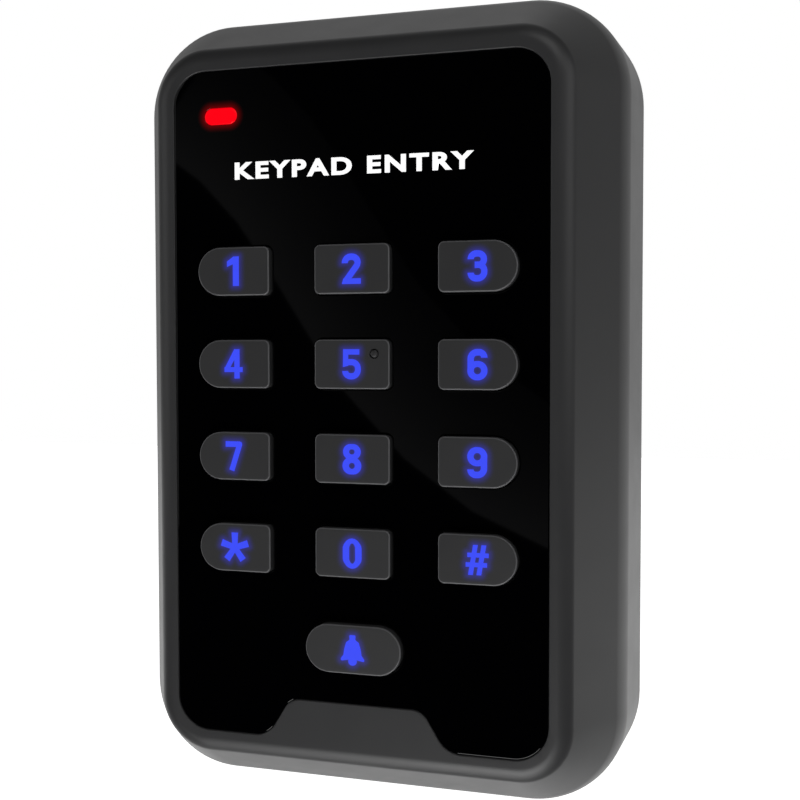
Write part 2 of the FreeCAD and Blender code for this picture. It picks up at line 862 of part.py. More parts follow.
def make_hook_slots(body):
    """Two slots in the top wall, which the wall plate's hooks go into."""
    near, far = hook_depths()
    low = f"({CAVITY_HALF_HEIGHT} - {OVERSHOOT})"
    high = f"({CAVITY_HALF_HEIGHT} - Dims.hook_gap + Dims.hook_rise + Dims.hook_clear)"
    for side in (-1, 1):
        width = "(Dims.hook_width + 2 * Dims.hook_clear)"
        slot = new_sketch(body, f"{side} * Dims.hook_x - {width} / 2", SIDE_PLANE)
        near_y = f"-({near} - Dims.hook_clear)"
        far_y = f"-({far} + Dims.hook_clear)"
        polygon(slot, [(near_y, low), (near_y, high), (far_y, high), (far_y, low)])
        pocket(body, slot, width, backwards=True)


def make_case_screw_hole(body):
    """A hole in the bottom wall for the case screw, with a sink for its head."""
    foot = f"(-Dims.case_height / 2 - {OVERSHOOT})"
    hole = new_sketch(body, foot, LEVEL_PLANE)
    ring(hole, "Dims.case_screw_hole", "0", "-Dims.case_screw_depth")
    pocket(body, hole, f"Dims.cavity_wall + 2 * {OVERSHOOT}", backwards=True)
    sink = new_sketch(body, foot, LEVEL_PLANE)
    ring(sink, "Dims.case_screw_sink", "0", "-Dims.case_screw_depth")
    length = f"Dims.cavity_wall - Dims.case_screw_seat + {OVERSHOOT}"
    pocket(body, sink, length, backwards=True)


def make_panel_sheet(label, depth, thick, inset, gap):
    """A sheet with the recess's outline: the panel itself, or the tape behind it."""
    body = new_body(label)
    face = new_sketch(body, depth)
    size = (f"(Dims.panel_width - 2 * {inset})", f"(Dims.panel_height - 2 * {inset})")
    outline(face, *size, f"(Dims.panel_corner - {inset})")
    pad(body, face, thick, backwards=True)
    notch = new_sketch(body, depth)
    tab_outline(notch, f"(Dims.panel_gap + {inset})")
    notch_cut = pocket(body, notch, thick)
    round_tab(body, notch_cut)
    cut_key_windows(body, depth, thick, gap)
    lens = new_sketch(body, depth)
    lens_outline(lens, f"(Dims.lens_gap + {inset})")
    pocket(body, lens, thick)


def make_lens():
    """The light pipe: an oblong stem flush with the panel, and a flange behind the floor."""
    body = new_body("status_lens")
    stem = new_sketch(body, FLOOR_BACK)
    lens_outline(stem, "0")
    pad(body, stem, f"{PANEL_FRONT} - {FLOOR_BACK}")
    flange = new_sketch(body, FLOOR_BACK)
    lens_outline(flange, "Dims.lens_flange")
    pad(body, flange, "Dims.lens_flange_thick", backwards=True)


# ---------------------------------------------------------------- wall plate


def wall_screw_places():
    """An upright pair of slots for a wall box, and a level pair for a round box."""
    for side in (-1, 1):
        yield "0", f"({side} * Dims.box_screw_pitch / 2)", True
        yield f"({side} * Dims.ring_screw_pitch / 2)", "0", False


def wall_slot(sketch, x, z, upright):
    """A slot with round ends, standing along Z or lying along X."""
    radius = value("Dims.wall_slot_radius")
    run = "(Dims.wall_slot_length / 2 - Dims.wall_slot_radius)"
    first_degrees = 0 if upright else -90
    ends = []
    for sign, turn in (("-", 180), ("+", 0)):
        place_x, place_z = (x, f"{z} {sign} {run}") if upright else (f"{x} {sign} {run}", z)
        centre = (value(place_x), value(place_z))
        start = first_degrees + turn
        end = arc(sketch, centre, radius, start, start + 180)
        bind(sketch, "DistanceX", -1, 1, end, 3, size=place_x)
        bind(sketch, "DistanceY", -1, 1, end, 3, size=place_z)
        ends.append(end)
    for one, other in (ends, reversed(ends)):
        start = sketch.getPoint(one, 2)
        finish = sketch.getPoint(other, 1)
        side = line(sketch, (start.x, start.y), (finish.x, finish.y))
        relate(sketch, "Tangent", one, 2, side, 1)
        relate(sketch, "Tangent", side, 2, other, 1)
    relate(sketch, "Equal", *ends)
    bind(sketch, "Radius", ends[0], size="Dims.wall_slot_radius")


def make_wall_plate():
    """The plate that is screwed to the wall, with hooks at its top and a screw tab below."""
    body = new_body("back_plate")
    face = new_sketch(body)
    gap = "2 * Dims.plate_gap"
    size = (f"({POCKET_WIDTH} - {gap})", f"({POCKET_HEIGHT} - {gap})")
    outline(face, *size, f"({POCKET_CORNER} - Dims.plate_gap)")
    pad(body, face, "Dims.plate_thick")
    near, far = hook_depths()
    root = "-(Dims.plate_thick / 2)"
    arm_low = f"({CAVITY_HALF_HEIGHT} - Dims.hook_gap - Dims.hook_arm)"
    arm_high = f"({CAVITY_HALF_HEIGHT} - Dims.hook_gap)"
    nose = f"({arm_high} + Dims.hook_rise)"
    for side in (-1, 1):
        hook = new_sketch(body, f"{side} * Dims.hook_x - Dims.hook_width / 2", SIDE_PLANE)
        corners = [(root, arm_low), (root, arm_high), (f"-{near}", arm_high)]
        corners += [(f"-{near}", nose), (f"-{far}", nose), (f"-{far}", arm_low)]
        polygon(hook, corners)
        pad(body, hook, "Dims.hook_width")
    make_screw_tab(body)
    for x, z, upright in wall_screw_places():
        slot = new_sketch(body)
        wall_slot(slot, x, z, upright)
        pocket(body, slot, "Dims.plate_thick", backwards=True)
    entry = new_sketch(body)
    ring(entry, "Dims.grommet_radius", "0", "Dims.grommet_z")
    pocket(body, entry, "Dims.plate_thick", backwards=True)


def make_screw_tab(body):
    """A block at the plate's foot that holds the threaded insert."""
    low = f"(-{CAVITY_HALF_HEIGHT} + Dims.tab_clear)"
    high = f"({low} + Dims.tab_block_height)"
    front = "-(Dims.plate_thick + Dims.tab_reach)"
    block_sketch = new_sketch(body, "-Dims.tab_width / 2", SIDE_PLANE)
    root = "-(Dims.plate_thick / 2)"
    polygon(block_sketch, [(root, low), (root, high), (front, high), (front, low)])
    pad(body, block_sketch, "Dims.tab_width")
    insert_hole = new_sketch(body, low, LEVEL_PLANE)
    ring(insert_hole, "Dims.insert_radius", "0", "-Dims.case_screw_depth")
    pocket(body, insert_hole, "Dims.tab_block_height - Dims.insert_roof", backwards=True)


def make_seal():
    """The gasket between the wall plate's rim and the ledge in the housing."""
    body = new_body("rear_seal")
    outer = new_sketch(body, "Dims.plate_thick")
    gap = "2 * Dims.seal_gap"
    size = (f"({POCKET_WIDTH} - {gap})", f"({POCKET_HEIGHT} - {gap})")
    outline(outer, *size, f"({POCKET_CORNER} - Dims.seal_gap)")
    pad(body, outer, "Dims.seal_thick")
    inner = new_sketch(body, "Dims.plate_thick")
    size = (f"({CAVITY_WIDTH} + {gap})", f"({CAVITY_HEIGHT} + {gap})")
    outline(inner, *size, f"({CAVITY_CORNER} + Dims.seal_gap)")
    pocket(body, inner, "Dims.seal_thick", backwards=True)


def make_grommet():
    """A rubber ring with a groove that grips the plate, turned about the cable's axis."""
    body = new_body("cable_grommet")
    sketch = new_sketch(body, "Dims.grommet_z", LEVEL_PLANE)
    lip = "(Dims.grommet_radius + Dims.grommet_lip)"
    front = "-(Dims.plate_thick + Dims.grommet_lip_thick)"
    corners = [
        ("Dims.cable_radius", "0"),
        ("Dims.cable_radius", front),
        (lip, front),
        (lip, "-Dims.plate_thick"),
        ("Dims.grommet_radius", "-Dims.plate_thick"),
        ("Dims.grommet_radius", "0"),
    ]
    polygon(sketch, corners)
    document.recompute()
    turned = body.newObject("PartDesign::Revolution", "Turned")
    turned.Profile = sketch
    turned.ReferenceAxis = (sketch, ["V_Axis"])
    turned.Angle = 360
    document.recompute()


# ---------------------------------------------------------------- screws


def upright_cylinder(name, radius, height, depth, z):
    """A cylinder along Z on the middle plane, standing on z."""
    cylinder = document.addObject("Part::Cylinder", name)
    cylinder.setExpression("Radius", radius)
    cylinder.setExpression("Height", height)
    return place(cylinder, "0", depth, z)


def make_case_screw():
    """A pin-in-hexagon security screw, pointing up into the insert."""
    depth = "Dims.case_screw_depth"
    seat = f"(-{CAVITY_HALF_HEIGHT} - Dims.case_screw_seat)"
    head_foot = f"({seat} - Dims.case_screw_head_thick)"
    head_size = ("Dims.case_screw_head", "Dims.case_screw_head_thick")
    head = upright_cylinder("ScrewHead", *head_size, depth, head_foot)
    shank_length = "Dims.case_screw_length + Dims.case_screw_seat"
    shank = upright_cylinder("ScrewShank", "Dims.case_screw_radius", shank_length, depth, seat)
    socket = document.addObject("Part::Prism", "ScrewSocket")
    socket.Polygon = 6
    socket.setExpression("Circumradius", "Dims.case_screw_socket")
    socket.setExpression("Height", "Dims.case_screw_socket_depth")
    place(socket, "0", depth, head_foot)
    pin_size = ("Dims.case_screw_pin", "Dims.case_screw_socket_depth")
    pin_foot = f"{head_foot} + Dims.case_screw_pin_sink"
    pin = upright_cylinder("ScrewPin", *pin_size, depth, pin_foot)
    solid = fuse("ScrewSolid", [head, shank])
    opened = cut("ScrewOpened", solid, socket)
    node(fuse("CaseScrew", [opened, pin]), "case_screw")


def make_insert():
    """The brass insert, with a hole that clears the screw's thread by a hair."""
    depth = "Dims.case_screw_depth"
    foot = f"(-{CAVITY_HALF_HEIGHT} + Dims.tab_clear)"
    sleeve = upright_cylinder("Sleeve", "Dims.insert_radius", "Dims.insert_length", depth, foot)
    bore_radius = "Dims.case_screw_radius + Dims.insert_gap"
    bore = upright_cylinder("Bore", bore_radius, "Dims.insert_length", depth, foot)
    node(cut("ScrewInsert", sleeve, bore), "screw_insert")


def make_board_screws():
    """Four cross-recessed self-tapping screws, driven from behind the board."""
    screws = []
    head_depth = f"({BOARD_BACK} - Dims.board_screw_head_thick)"
    recess_thick = "Dims.board_screw_head_thick / 2"
    for x, z in screw_places():
        head_size = ("Dims.board_screw_head", "Dims.board_screw_head_thick")
        head = disc("BoardScrewHead", *head_size, x, head_depth, z)
        grip = "Dims.board_thick + Dims.board_screw_grip - Dims.board_screw_end_gap"
        shank = disc("BoardScrewShank", "Dims.board_screw_radius", grip, x, BOARD_BACK, z)
        solid = fuse("BoardScrewSolid", [head, shank])
        blades = (("Dims.cross_length", "Dims.cross_width"), ("Dims.cross_width", "Dims.cross_length"))
        cross = [block("Blade", w, recess_thick, h, x, head_depth, z) for w, h in blades]
        screws.append(cut("BoardScrew", solid, fuse("Cross", cross)))
    node(group("BoardScrews", screws), "board_screws")


# ---------------------------------------------------------------- circuit board


def make_board():
    """The circuit board, with holes for its screws and for the mat's pegs."""
    body = new_body("main_board")
    face = new_sketch(body, BOARD_BACK)
    outline(face, "Dims.board_width", "Dims.board_height", "Dims.board_corner")
    pad(body, face, "Dims.board_thick")
    for x, z in screw_places():
        hole = new_sketch(body, BOARD_FRONT)
        ring(hole, "Dims.board_screw_hole", x, z)
        pocket(body, hole, "Dims.board_thick")
    for side in (-1, 1):
        hole = new_sketch(body, BOARD_FRONT)
        ring(hole, "(Dims.mat_peg_radius + Dims.mat_peg_gap)", peg_x(side), peg_z())
        peg_hole = pocket(body, hole, "Dims.board_thick")
        repeat_rows(body, peg_hole, hole, rows=f"{PEG_ROWS}")


def make_coil():
    """The card reader's flat coil, wound round the keypad mat."""
    body = new_body("antenna_coil")
    face = new_sketch(body, BOARD_FRONT)
    outline(face, "Dims.coil_width", "Dims.coil_height", "Dims.coil_corner", "0", "Dims.coil_z")
    pad(body, face, "Dims.coil_thick")
    inner = new_sketch(body, BOARD_FRONT)
    band = "2 * Dims.coil_band"
    size = (f"(Dims.coil_width - {band})", f"(Dims.coil_height - {band})")
    outline(inner, *size, "(Dims.coil_corner - Dims.coil_band)", "0", "Dims.coil_z")
    pocket(body, inner, "Dims.coil_thick", backwards=True)


def on_back(name, width, thick, height, x, z):
    """A box that stands on the back of the board."""
    return block(name, width, thick, height, x, f"({BOARD_BACK} - {thick})", z)


def make_lights():
    """The light under the lens, and one small light above each key."""
    status_size = ("Dims.status_width", "Dims.status_thick", "Dims.status_height")
    status = block("Status", *status_size, "Dims.lens_x", BOARD_FRONT, "Dims.lens_z")
    node(status, "status_light")
    size = ("Dims.light_width", "Dims.light_thick", "Dims.light_height")
    places = [(x, light_z(z)) for _, x, z, _, _ in key_places()]
    lights = [block("Light", *size, x, BOARD_FRONT, z) for x, z in places]
    node(group("KeyLights", lights), "key_lights")


def leads(name, count, pitch, x, z, width, height, upright):
    """Rows of flat leads on two opposite sides of a chip."""
    made = []
    lead_depth = f"({BOARD_BACK} - Dims.lead_thick)"
    for side in (-1, 1):
        for step in range(count):
            shift = f"({step} - ({count} - 1) / 2) * {pitch}"
            if upright:
                at = (f"{x} + {shift}", f"{z} + {side} * ({height} + Dims.lead_reach) / 2")
                size = ("Dims.lead_width", "Dims.lead_thick", "(Dims.lead_reach + Dims.lead_overlap)")
            else:
                at = (f"{x} + {side} * ({width} + Dims.lead_reach) / 2", f"{z} + {shift}")
                size = ("(Dims.lead_reach + Dims.lead_overlap)", "Dims.lead_thick", "Dims.lead_width")
            made.append(block(name, *size, at[0], lead_depth, at[1]))
    return made


def make_chips():
    """The controller, with leads on four sides, and the card reader's chip, with two rows."""
    x, z, side = "Dims.control_x", "Dims.control_z", "Dims.control_side"
    case = on_back("ControlCase", side, "Dims.control_thick", side, x, z)
    legs = leads("ControlLead", 8, "Dims.control_pitch", x, z, side, side, upright=True)
    legs += leads("ControlLead", 8, "Dims.control_pitch", x, z, side, side, upright=False)
    node(fuse("ControlChip", [case] + legs), "control_chip")
    x, z = "Dims.reader_x", "Dims.reader_z"
    width, height = "Dims.reader_width", "Dims.reader_height"
    case = on_back("ReaderCase", width, "Dims.reader_thick", height, x, z)
    legs = leads("ReaderLead", 7, "Dims.reader_pitch", x, z, width, height, upright=True)
    node(fuse("ReaderChip", [case] + legs), "reader_chip")


def make_crystal():
    """The clock crystal: a can with round ends."""
    body = new_body("clock_crystal")
    sketch = new_sketch(body, BOARD_BACK)
    size = ("Dims.crystal_width", "Dims.crystal_height", "0")
    outline(sketch, *size, "Dims.crystal_x", "Dims.crystal_z", True, True)
    can = pad(body, sketch, "Dims.crystal_thick", backwards=True)
    top = at_depth(f"{BOARD_BACK} - Dims.crystal_thick")
    fillet(body, can, edges_where(can.Shape, top), "Dims.crystal_round")


def make_regulator():
    """The voltage regulator: a moulded block with a metal tab and two leads."""
    x, z = "Dims.regulator_x", "Dims.regulator_z"
    size = ("Dims.regulator_width", "Dims.regulator_thick", "Dims.regulator_height")
    case = on_back("RegulatorCase", *size, x, z)
    tab_z = f"{z} + (Dims.regulator_height + Dims.regulator_tab - Dims.regulator_overlap) / 2"
    tab_size = (
        "(Dims.regulator_width - Dims.regulator_tab_inset)",
        "Dims.regulator_metal",
        "(Dims.regulator_tab + Dims.regulator_overlap)",
    )
    tab = on_back("RegulatorTab", *tab_size, x, tab_z)
    reach = "(Dims.regulator_lead_length - Dims.regulator_overlap)"
    lead_z = f"{z} - (Dims.regulator_height + {reach} - Dims.regulator_overlap) / 2"
    lead_size = ("Dims.regulator_lead_width", "Dims.regulator_metal", "Dims.regulator_lead_length")
    legs = [
        on_back("RegulatorLead", *lead_size, f"{x} + {side} * Dims.regulator_lead_x", lead_z)
        for side in (-1, 1)
    ]
    node(fuse("VoltageRegulator", [case, tab] + legs), "voltage_regulator")


def make_relay():
    """The door relay's case, with its outer edges rounded."""
    size = ("Dims.relay_length", "Dims.relay_thick", "Dims.relay_width")
    case = on_back("RelayBlock", *size, "Dims.relay_x", "Dims.relay_z")
    document.recompute()
    top = at_depth(f"{BOARD_BACK} - Dims.relay_thick")
    edges = [int(name[4:]) for name in edges_where(case.Shape, top)]
    rounded = document.addObject("Part::Fillet", "DoorRelay")
    rounded.Base = case
    radius = value("Dims.relay_round")
    rounded.Edges = [(edge, radius, radius) for edge in edges]
    node(rounded, "door_relay")


def make_buzzer():
    """The sounder: a round case with a sound hole."""
    x, z = "Dims.buzzer_x", "Dims.buzzer_z"
    foot = f"({BOARD_BACK} - Dims.buzzer_thick)"
    case = disc("BuzzerCase", "Dims.buzzer_radius", "Dims.buzzer_thick", x, foot, z)
    hole = disc("BuzzerHole", "Dims.buzzer_hole", "Dims.buzzer_thick / 2", x, foot, z)
    node(cut("Buzzer", case, hole), "buzzer")


def make_capacitor():
    """The smoothing capacitor: a can with a rolled groove near the board."""
    x, z = "Dims.capacitor_x", "Dims.capacitor_z"
    foot = f"({BOARD_BACK} - Dims.capacitor_thick)"
    can = disc("Can", "Dims.capacitor_radius", "Dims.capacitor_thick", x, foot, z)
    groove = document.addObject("Part::Torus", "Groove")
    groove.setExpression("Radius1", "Dims.capacitor_radius + Dims.capacitor_groove_out")
    groove.setExpression("Radius2", "Dims.capacitor_groove_radius")
    groove.Placement.Rotation = FreeCAD.Rotation(Vector(1, 0, 0), 90)
    place(groove, x, f"{BOARD_BACK} - Dims.capacitor_groove_z", z)
    node(cut("FilterCapacitor", can, groove), "filter_capacitor")


def terminal_x(number):
    return f"({number} - ({TERMINALS} - 1) / 2) * Dims.terminal_pitch"


def make_terminal_block():
    """The terminal block: a wire hole below and a screw well behind for each wire."""
    length = f"({TERMINALS} * Dims.terminal_pitch)"
    z = "Dims.terminal_z"
    size = (length, "Dims.terminal_thick", "Dims.terminal_depth")
    case = on_back("TerminalCase", *size, "0", z)
    foot = f"({BOARD_BACK} - Dims.terminal_thick)"
    hole_z = f"({z} - Dims.terminal_depth / 2 + Dims.wire_hole_depth / 2)"
    hole_depth = f"({BOARD_BACK} - Dims.wire_hole - Dims.terminal_floor)"
    well_radius = "(Dims.terminal_screw + Dims.terminal_screw_gap)"
    tools = []
    screws = []
    for number in range(TERMINALS):
        x = terminal_x(number)
        hole_size = ("Dims.wire_hole", "Dims.wire_hole", "Dims.wire_hole_depth")
        tools.append(block("WireHole", *hole_size, x, hole_depth, hole_z))
        tools.append(disc("ScrewWell", well_radius, "Dims.terminal_well", x, foot, z))
        seat = f"({foot} + Dims.terminal_well - Dims.terminal_screw_thick)"
        head_size = ("Dims.terminal_screw", "Dims.terminal_screw_thick")
        head = disc("ClampScrewHead", *head_size, x, seat, z)
        slot_size = ("Dims.terminal_slot_length", *["Dims.terminal_slot_width"] * 2)
        slot = block("ClampScrewSlot", *slot_size, x, seat, z)
        screws.append(cut("ClampScrew", head, slot))
    node(cut("TerminalBlock", case, fuse("TerminalHoles", tools)), "terminal_block")
    node(group("TerminalScrews", screws), "terminal_screws")


def make_resistors():
    """Small chip resistors, in two short rows beside the controller."""
    size = ("Dims.resistor_width", "Dims.resistor_thick", "Dims.resistor_height")
    chips = []
    for side in (-1, 1):
        for step in range(RESISTORS_IN_ROW):
            x = f"({side} * Dims.resistor_x)"
            z = f"(Dims.resistor_top_z - {step} * Dims.resistor_pitch)"
            chips.append(on_back("Resistor", *size, x, z))
    node(group("ChipResistors", chips), "chip_resistors")


def pin_x(step):
    """A pin's place in the row, counted from the middle pin."""
    return f"(Dims.header_x + {step} * Dims.header_side)"


def make_header():
    """Three reset pins in a moulded strip, and the cap that joins two of them."""
    x, z = "Dims.header_x", "Dims.header_z"
    size = ("Dims.header_width", "Dims.header_thick", "Dims.header_side")
    strip = on_back("HeaderStrip", *size, x, z)
    rise = "(Dims.header_thick + Dims.header_pin_rise)"
    pins = [
        on_back("Pin", "Dims.header_pin", rise, "Dims.header_pin", pin_x(step), z)
        for step in (-1, 0, 1)
    ]
    node(fuse("SetupHeader", [strip] + pins), "setup_header")
    cap_x = f"({x} - Dims.header_side / 2)"
    cap_foot = f"({BOARD_BACK} - Dims.header_thick - Dims.jumper_thick)"
    cap_size = ("Dims.jumper_width", "Dims.jumper_thick", "Dims.header_side")
    cap = block("JumperCap", *cap_size, cap_x, cap_foot, z)
    room = "(Dims.header_pin + 2 * Dims.header_pin_gap)"
    holes = [
        block("PinHole", room, "Dims.jumper_thick", room, pin_x(step), cap_foot, z)
        for step in (-1, 0)
    ]
    node(cut("SetupJumper", cap, fuse("PinHoles", holes)), "setup_jumper")


def make_tamper_switch():
    """A sealed push switch whose plunger the wall plate holds pressed."""
    x, z = "Dims.tamper_x", "Dims.tamper_z"
    side = "Dims.tamper_side"
    case = on_back("TamperCase", side, "Dims.tamper_thick", side, x, z)
    foot = f"({BOARD_BACK} - Dims.tamper_thick)"
    seat = "(Dims.tamper_thick - Dims.plunger_seat)"
    bore = disc("TamperBore", "Dims.plunger_bore", seat, x, foot, z)
    node(cut("TamperSwitch", case, bore), "tamper_switch")
    reach = f"({foot} + {seat} - Dims.plate_thick - Dims.plunger_seat)"
    plunger = disc("TamperPlunger", "Dims.plunger_radius", reach, x, "Dims.plate_thick", z)
    node(plunger, "tamper_plunger")


# ---------------------------------------------------------------- assembly and writing


def build_all():
    make_housing()
    make_panel_sheet("front_panel", PANEL_FRONT, "Dims.panel_thick", "0", "Dims.key_gap")
    tape_gap = "(Dims.key_gap + Dims.tape_inset)"
    make_panel_sheet("panel_tape", PANEL_BACK, "Dims.tape_thick", "Dims.tape_inset", tape_gap)
    make_lens()
    for name, x, z, width, ends in key_places():
        make_keycap(name, x, z, width, ends)
        make_pill(name, x, z)
    make_mat()
    make_board()
    make_coil()
    make_lights()
    make_chips()
    make_crystal()
    make_regulator()
    make_relay()
    make_buzzer()
    make_capacitor()
    make_terminal_block()
    make_resistors()
    make_header()
    make_tamper_switch()
    make_wall_plate()
    make_seal()
    make_grommet()
    make_case_screw()
    make_insert()
    make_board_screws()


def check_all():
    """Stops if any object of the document failed, or a sub-part isn't a sound solid."""
    document.recompute()
    for thing in document.Objects:
        if "Invalid" in thing.State or "Error" in thing.State:
            raise ValueError(f"{thing.Label} ({thing.Name}) failed: {thing.State}")
    for part in nodes:
        if part.Shape.isNull() or not part.Shape.isValid() or not part.Shape.Solids:
            raise ValueError(f"{part.Label} isn't a valid solid")


def write_all(folder="parts"):
    os.makedirs(folder, exist_ok=True)
    for part in nodes:
        part.Shape.exportStep(f"{folder}/{part.Label}.step")
        box = part.Shape.BoundBox
        low = (round(box.XMin, 2), round(box.YMin, 2), round(box.ZMin, 2))
        high = (round(box.XMax, 2), round(box.YMax, 2), round(box.ZMax, 2))
        solids = len(part.Shape.Solids)
        print(f"{part.Label:22} {solids:3} solids {part.Shape.Volume:10.1f} mm3 {low} {high}")


build_all()
check_all()
write_all()
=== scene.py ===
import logging
import math
from collections.abc import Callable, Iterable, Iterator, Sequence
from dataclasses import dataclass, replace
from enum import Enum

import bmesh
import bpy
from mathutils import Matrix, Vector
from mathutils.bvhtree import BVHTree


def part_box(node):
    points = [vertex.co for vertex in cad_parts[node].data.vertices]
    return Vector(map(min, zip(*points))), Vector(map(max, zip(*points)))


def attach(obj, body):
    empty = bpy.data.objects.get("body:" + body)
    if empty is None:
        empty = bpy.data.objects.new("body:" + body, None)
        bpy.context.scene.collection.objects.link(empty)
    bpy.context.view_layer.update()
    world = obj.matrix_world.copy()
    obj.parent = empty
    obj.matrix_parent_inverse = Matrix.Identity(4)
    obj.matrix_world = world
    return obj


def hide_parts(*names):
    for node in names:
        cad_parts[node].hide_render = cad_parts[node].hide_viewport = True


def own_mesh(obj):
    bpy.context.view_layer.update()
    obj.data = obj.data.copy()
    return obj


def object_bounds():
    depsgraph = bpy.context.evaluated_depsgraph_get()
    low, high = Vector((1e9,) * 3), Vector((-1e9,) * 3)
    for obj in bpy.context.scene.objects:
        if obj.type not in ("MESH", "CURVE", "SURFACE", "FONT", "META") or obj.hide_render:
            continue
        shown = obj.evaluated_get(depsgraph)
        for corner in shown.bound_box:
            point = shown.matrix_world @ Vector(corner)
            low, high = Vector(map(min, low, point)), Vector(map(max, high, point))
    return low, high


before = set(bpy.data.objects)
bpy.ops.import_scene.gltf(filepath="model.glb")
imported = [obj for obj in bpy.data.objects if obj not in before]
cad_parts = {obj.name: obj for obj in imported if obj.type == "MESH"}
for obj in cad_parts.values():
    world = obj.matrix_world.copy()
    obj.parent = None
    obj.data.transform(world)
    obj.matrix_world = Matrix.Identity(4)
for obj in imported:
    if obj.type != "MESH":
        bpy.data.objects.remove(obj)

# The looks of a wall-mounted keypad access reader. Metres. +X is to the right, +Z is up and
# the keys face -Y, so that a depth in front of the wall is a negative y.

CAD_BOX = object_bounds()
MM = 0.001
HAIR = 1e-7
CASE_BODY = "case"
# The camera stands a little to the right of the keypad and about level with its middle.
CAMERA_PLACE = (0.0598, -0.19377, 0.0083)
FORWARD = Vector((0.0, -1.0, 0.0))
LOG = logging.getLogger("access_reader")


# ---------------------------------------------------------------- flat outlines


@dataclass(frozen=True)
class Corner:
    """A corner of a flat outline: its place, and the radius it is rounded to, in metres."""

    x: float
    z: float
    radius: float = 0.0

    @property
    def place(self) -> Vector:
        """The corner's place as a flat vector."""
        return Vector((self.x, self.z))


@dataclass(frozen=True)
class Outline:
    """A closed flat outline whose corners run anticlockwise as the keys' user sees them."""

    corners: tuple[Corner, ...]
    segments: int = 12

    def sides(self) -> Iterator[tuple[Corner, Vector, Vector]]:
        """Gives each corner with the directions of the sides before and after it."""
        count = len(self.corners)
        for index, corner in enumerate(self.corners):
            before = self.corners[index - 1].place
            after = self.corners[(index + 1) % count].place
            arriving = (corner.place - before).normalized()
            leaving = (after - corner.place).normalized()
            yield corner, arriving, leaving

    def grown(self, distance: float) -> "Outline":
        """Moves every side outwards, or inwards if the distance is below zero.

        Args:
            distance: How far each side moves, in metres.

        Returns:
            The new outline, whose round corners keep the same centres.
        """
        corners = []
        for corner, arriving, leaving in self.sides():
            normals = [Vector((side.y, -side.x)) for side in (arriving, leaving)]
            shift = (normals[0] + normals[1]) / (1.0 + normals[0].dot(normals[1]))
            place = corner.place + shift * distance
            turn = 1.0 if arriving.cross(leaving) > 0.0 else -1.0
            radius = max(corner.radius + turn * distance, 0.02 * MM) if corner.radius else 0.0
            corners.append(Corner(place.x, place.y, radius))
        return replace(self, corners=tuple(corners))

    def moved(self, x: float, z: float) -> "Outline":
        """Gives the same outline in another place."""
        shifted = (Corner(c.x + x, c.z + z, c.radius) for c in self.corners)
        return replace(self, corners=tuple(shifted))

    def points(self) -> list[Vector]:
        """Rounds the corners and gives the outline's points, from the first corner on."""
        scratch = bmesh.new()
        verts = [scratch.verts.new((corner.x, 0.0, corner.z)) for corner in self.corners]
        scratch.faces.new(verts)
        cuts = []
        for vert, (corner, arriving, leaving) in zip(verts, self.sides()):
            turn = arriving.angle(leaving)
            cuts.append((vert, corner.radius * math.tan(turn / 2.0)))
        for vert, offset in cuts:
            if offset > 0.0:
                bmesh.ops.bevel(
                    scratch,
                    geom=[vert],
                    offset=offset,
                    offset_type="OFFSET",
                    segments=self.segments,
                    profile=0.5,
                    affect="VERTICES",
                    material=-1,
                    clamp_overlap=False,
                )
        bmesh.ops.remove_doubles(scratch, verts=scratch.verts, dist=HAIR)
        scratch.faces.ensure_lookup_table()
        loop = [vert.co.copy() for vert in scratch.faces[0].verts]
        scratch.free()
        start = Vector((self.corners[0].x, 0.0, self.corners[0].z))
        first = min(range(len(loop)), key=lambda index: (loop[index] - start).length)
        return loop[first:] + loop[:first]


def rounded_box(width: float, height: float, left: float, right: float, segments: int = 12) -> Outline:
    """A rectangle about the origin with round corners.

    Args:
        width: Its width.
        height: Its height.
        left: The radius of its two left corners.
        right: The radius of its two right corners.
        segments: How many sides make each round corner.

    Returns:
        The outline.
    """
    x, z = width / 2.0, height / 2.0
    largest = 0.9995 * min(x, z)
    left, right = min(left, largest), min(right, largest)
    corners = (Corner(-x, -z, left), Corner(x, -z, right), Corner(x, z, right), Corner(-x, z, left))
    return Outline(corners, segments)


# ---------------------------------------------------------------- mesh building


def add_ring(bm: bmesh.types.BMesh, outline: Outline, y: float) -> list[bmesh.types.BMEdge]:
    """Adds an outline's closed ring of edges to a mesh, in the plane at y."""
    verts = [bm.verts.new((point.x, y, point.z)) for point in outline.points()]
    return [bm.edges.new(pair) for pair in zip(verts, verts[1:] + verts[:1])]


def loft(bm: bmesh.types.BMesh, outline: Outline, profile: Iterable[tuple[float, float]]) -> list:
    """Extrudes a ring through copies of its outline, each grown by a distance and set at a y.

    Args:
        bm: The mesh to add to.
        outline: The outline that every ring follows.
        profile: A growth and a y for each ring.

    Returns:
        The rings, each a list of edges.
    """
    (growth, y), *steps = profile
    rings = [add_ring(bm, outline.grown(growth), y)]
    verts = [edge.verts[0] for edge in rings[0]]
    for growth, y in steps:
        made = bmesh.ops.extrude_edge_only(bm, edges=rings[-1])["geom"]
        fresh = {item for item in made if isinstance(item, bmesh.types.BMVert)}
        verts = [next(e.other_vert(v) for e in v.link_edges if e.other_vert(v) in fresh) for v in verts]
        for vert, point in zip(verts, outline.grown(growth).points()):
            vert.co = (point.x, y, point.z)
        pairs = zip(verts, verts[1:] + verts[:1])
        rings.append([bm.edges.get(pair) for pair in pairs])
    return rings


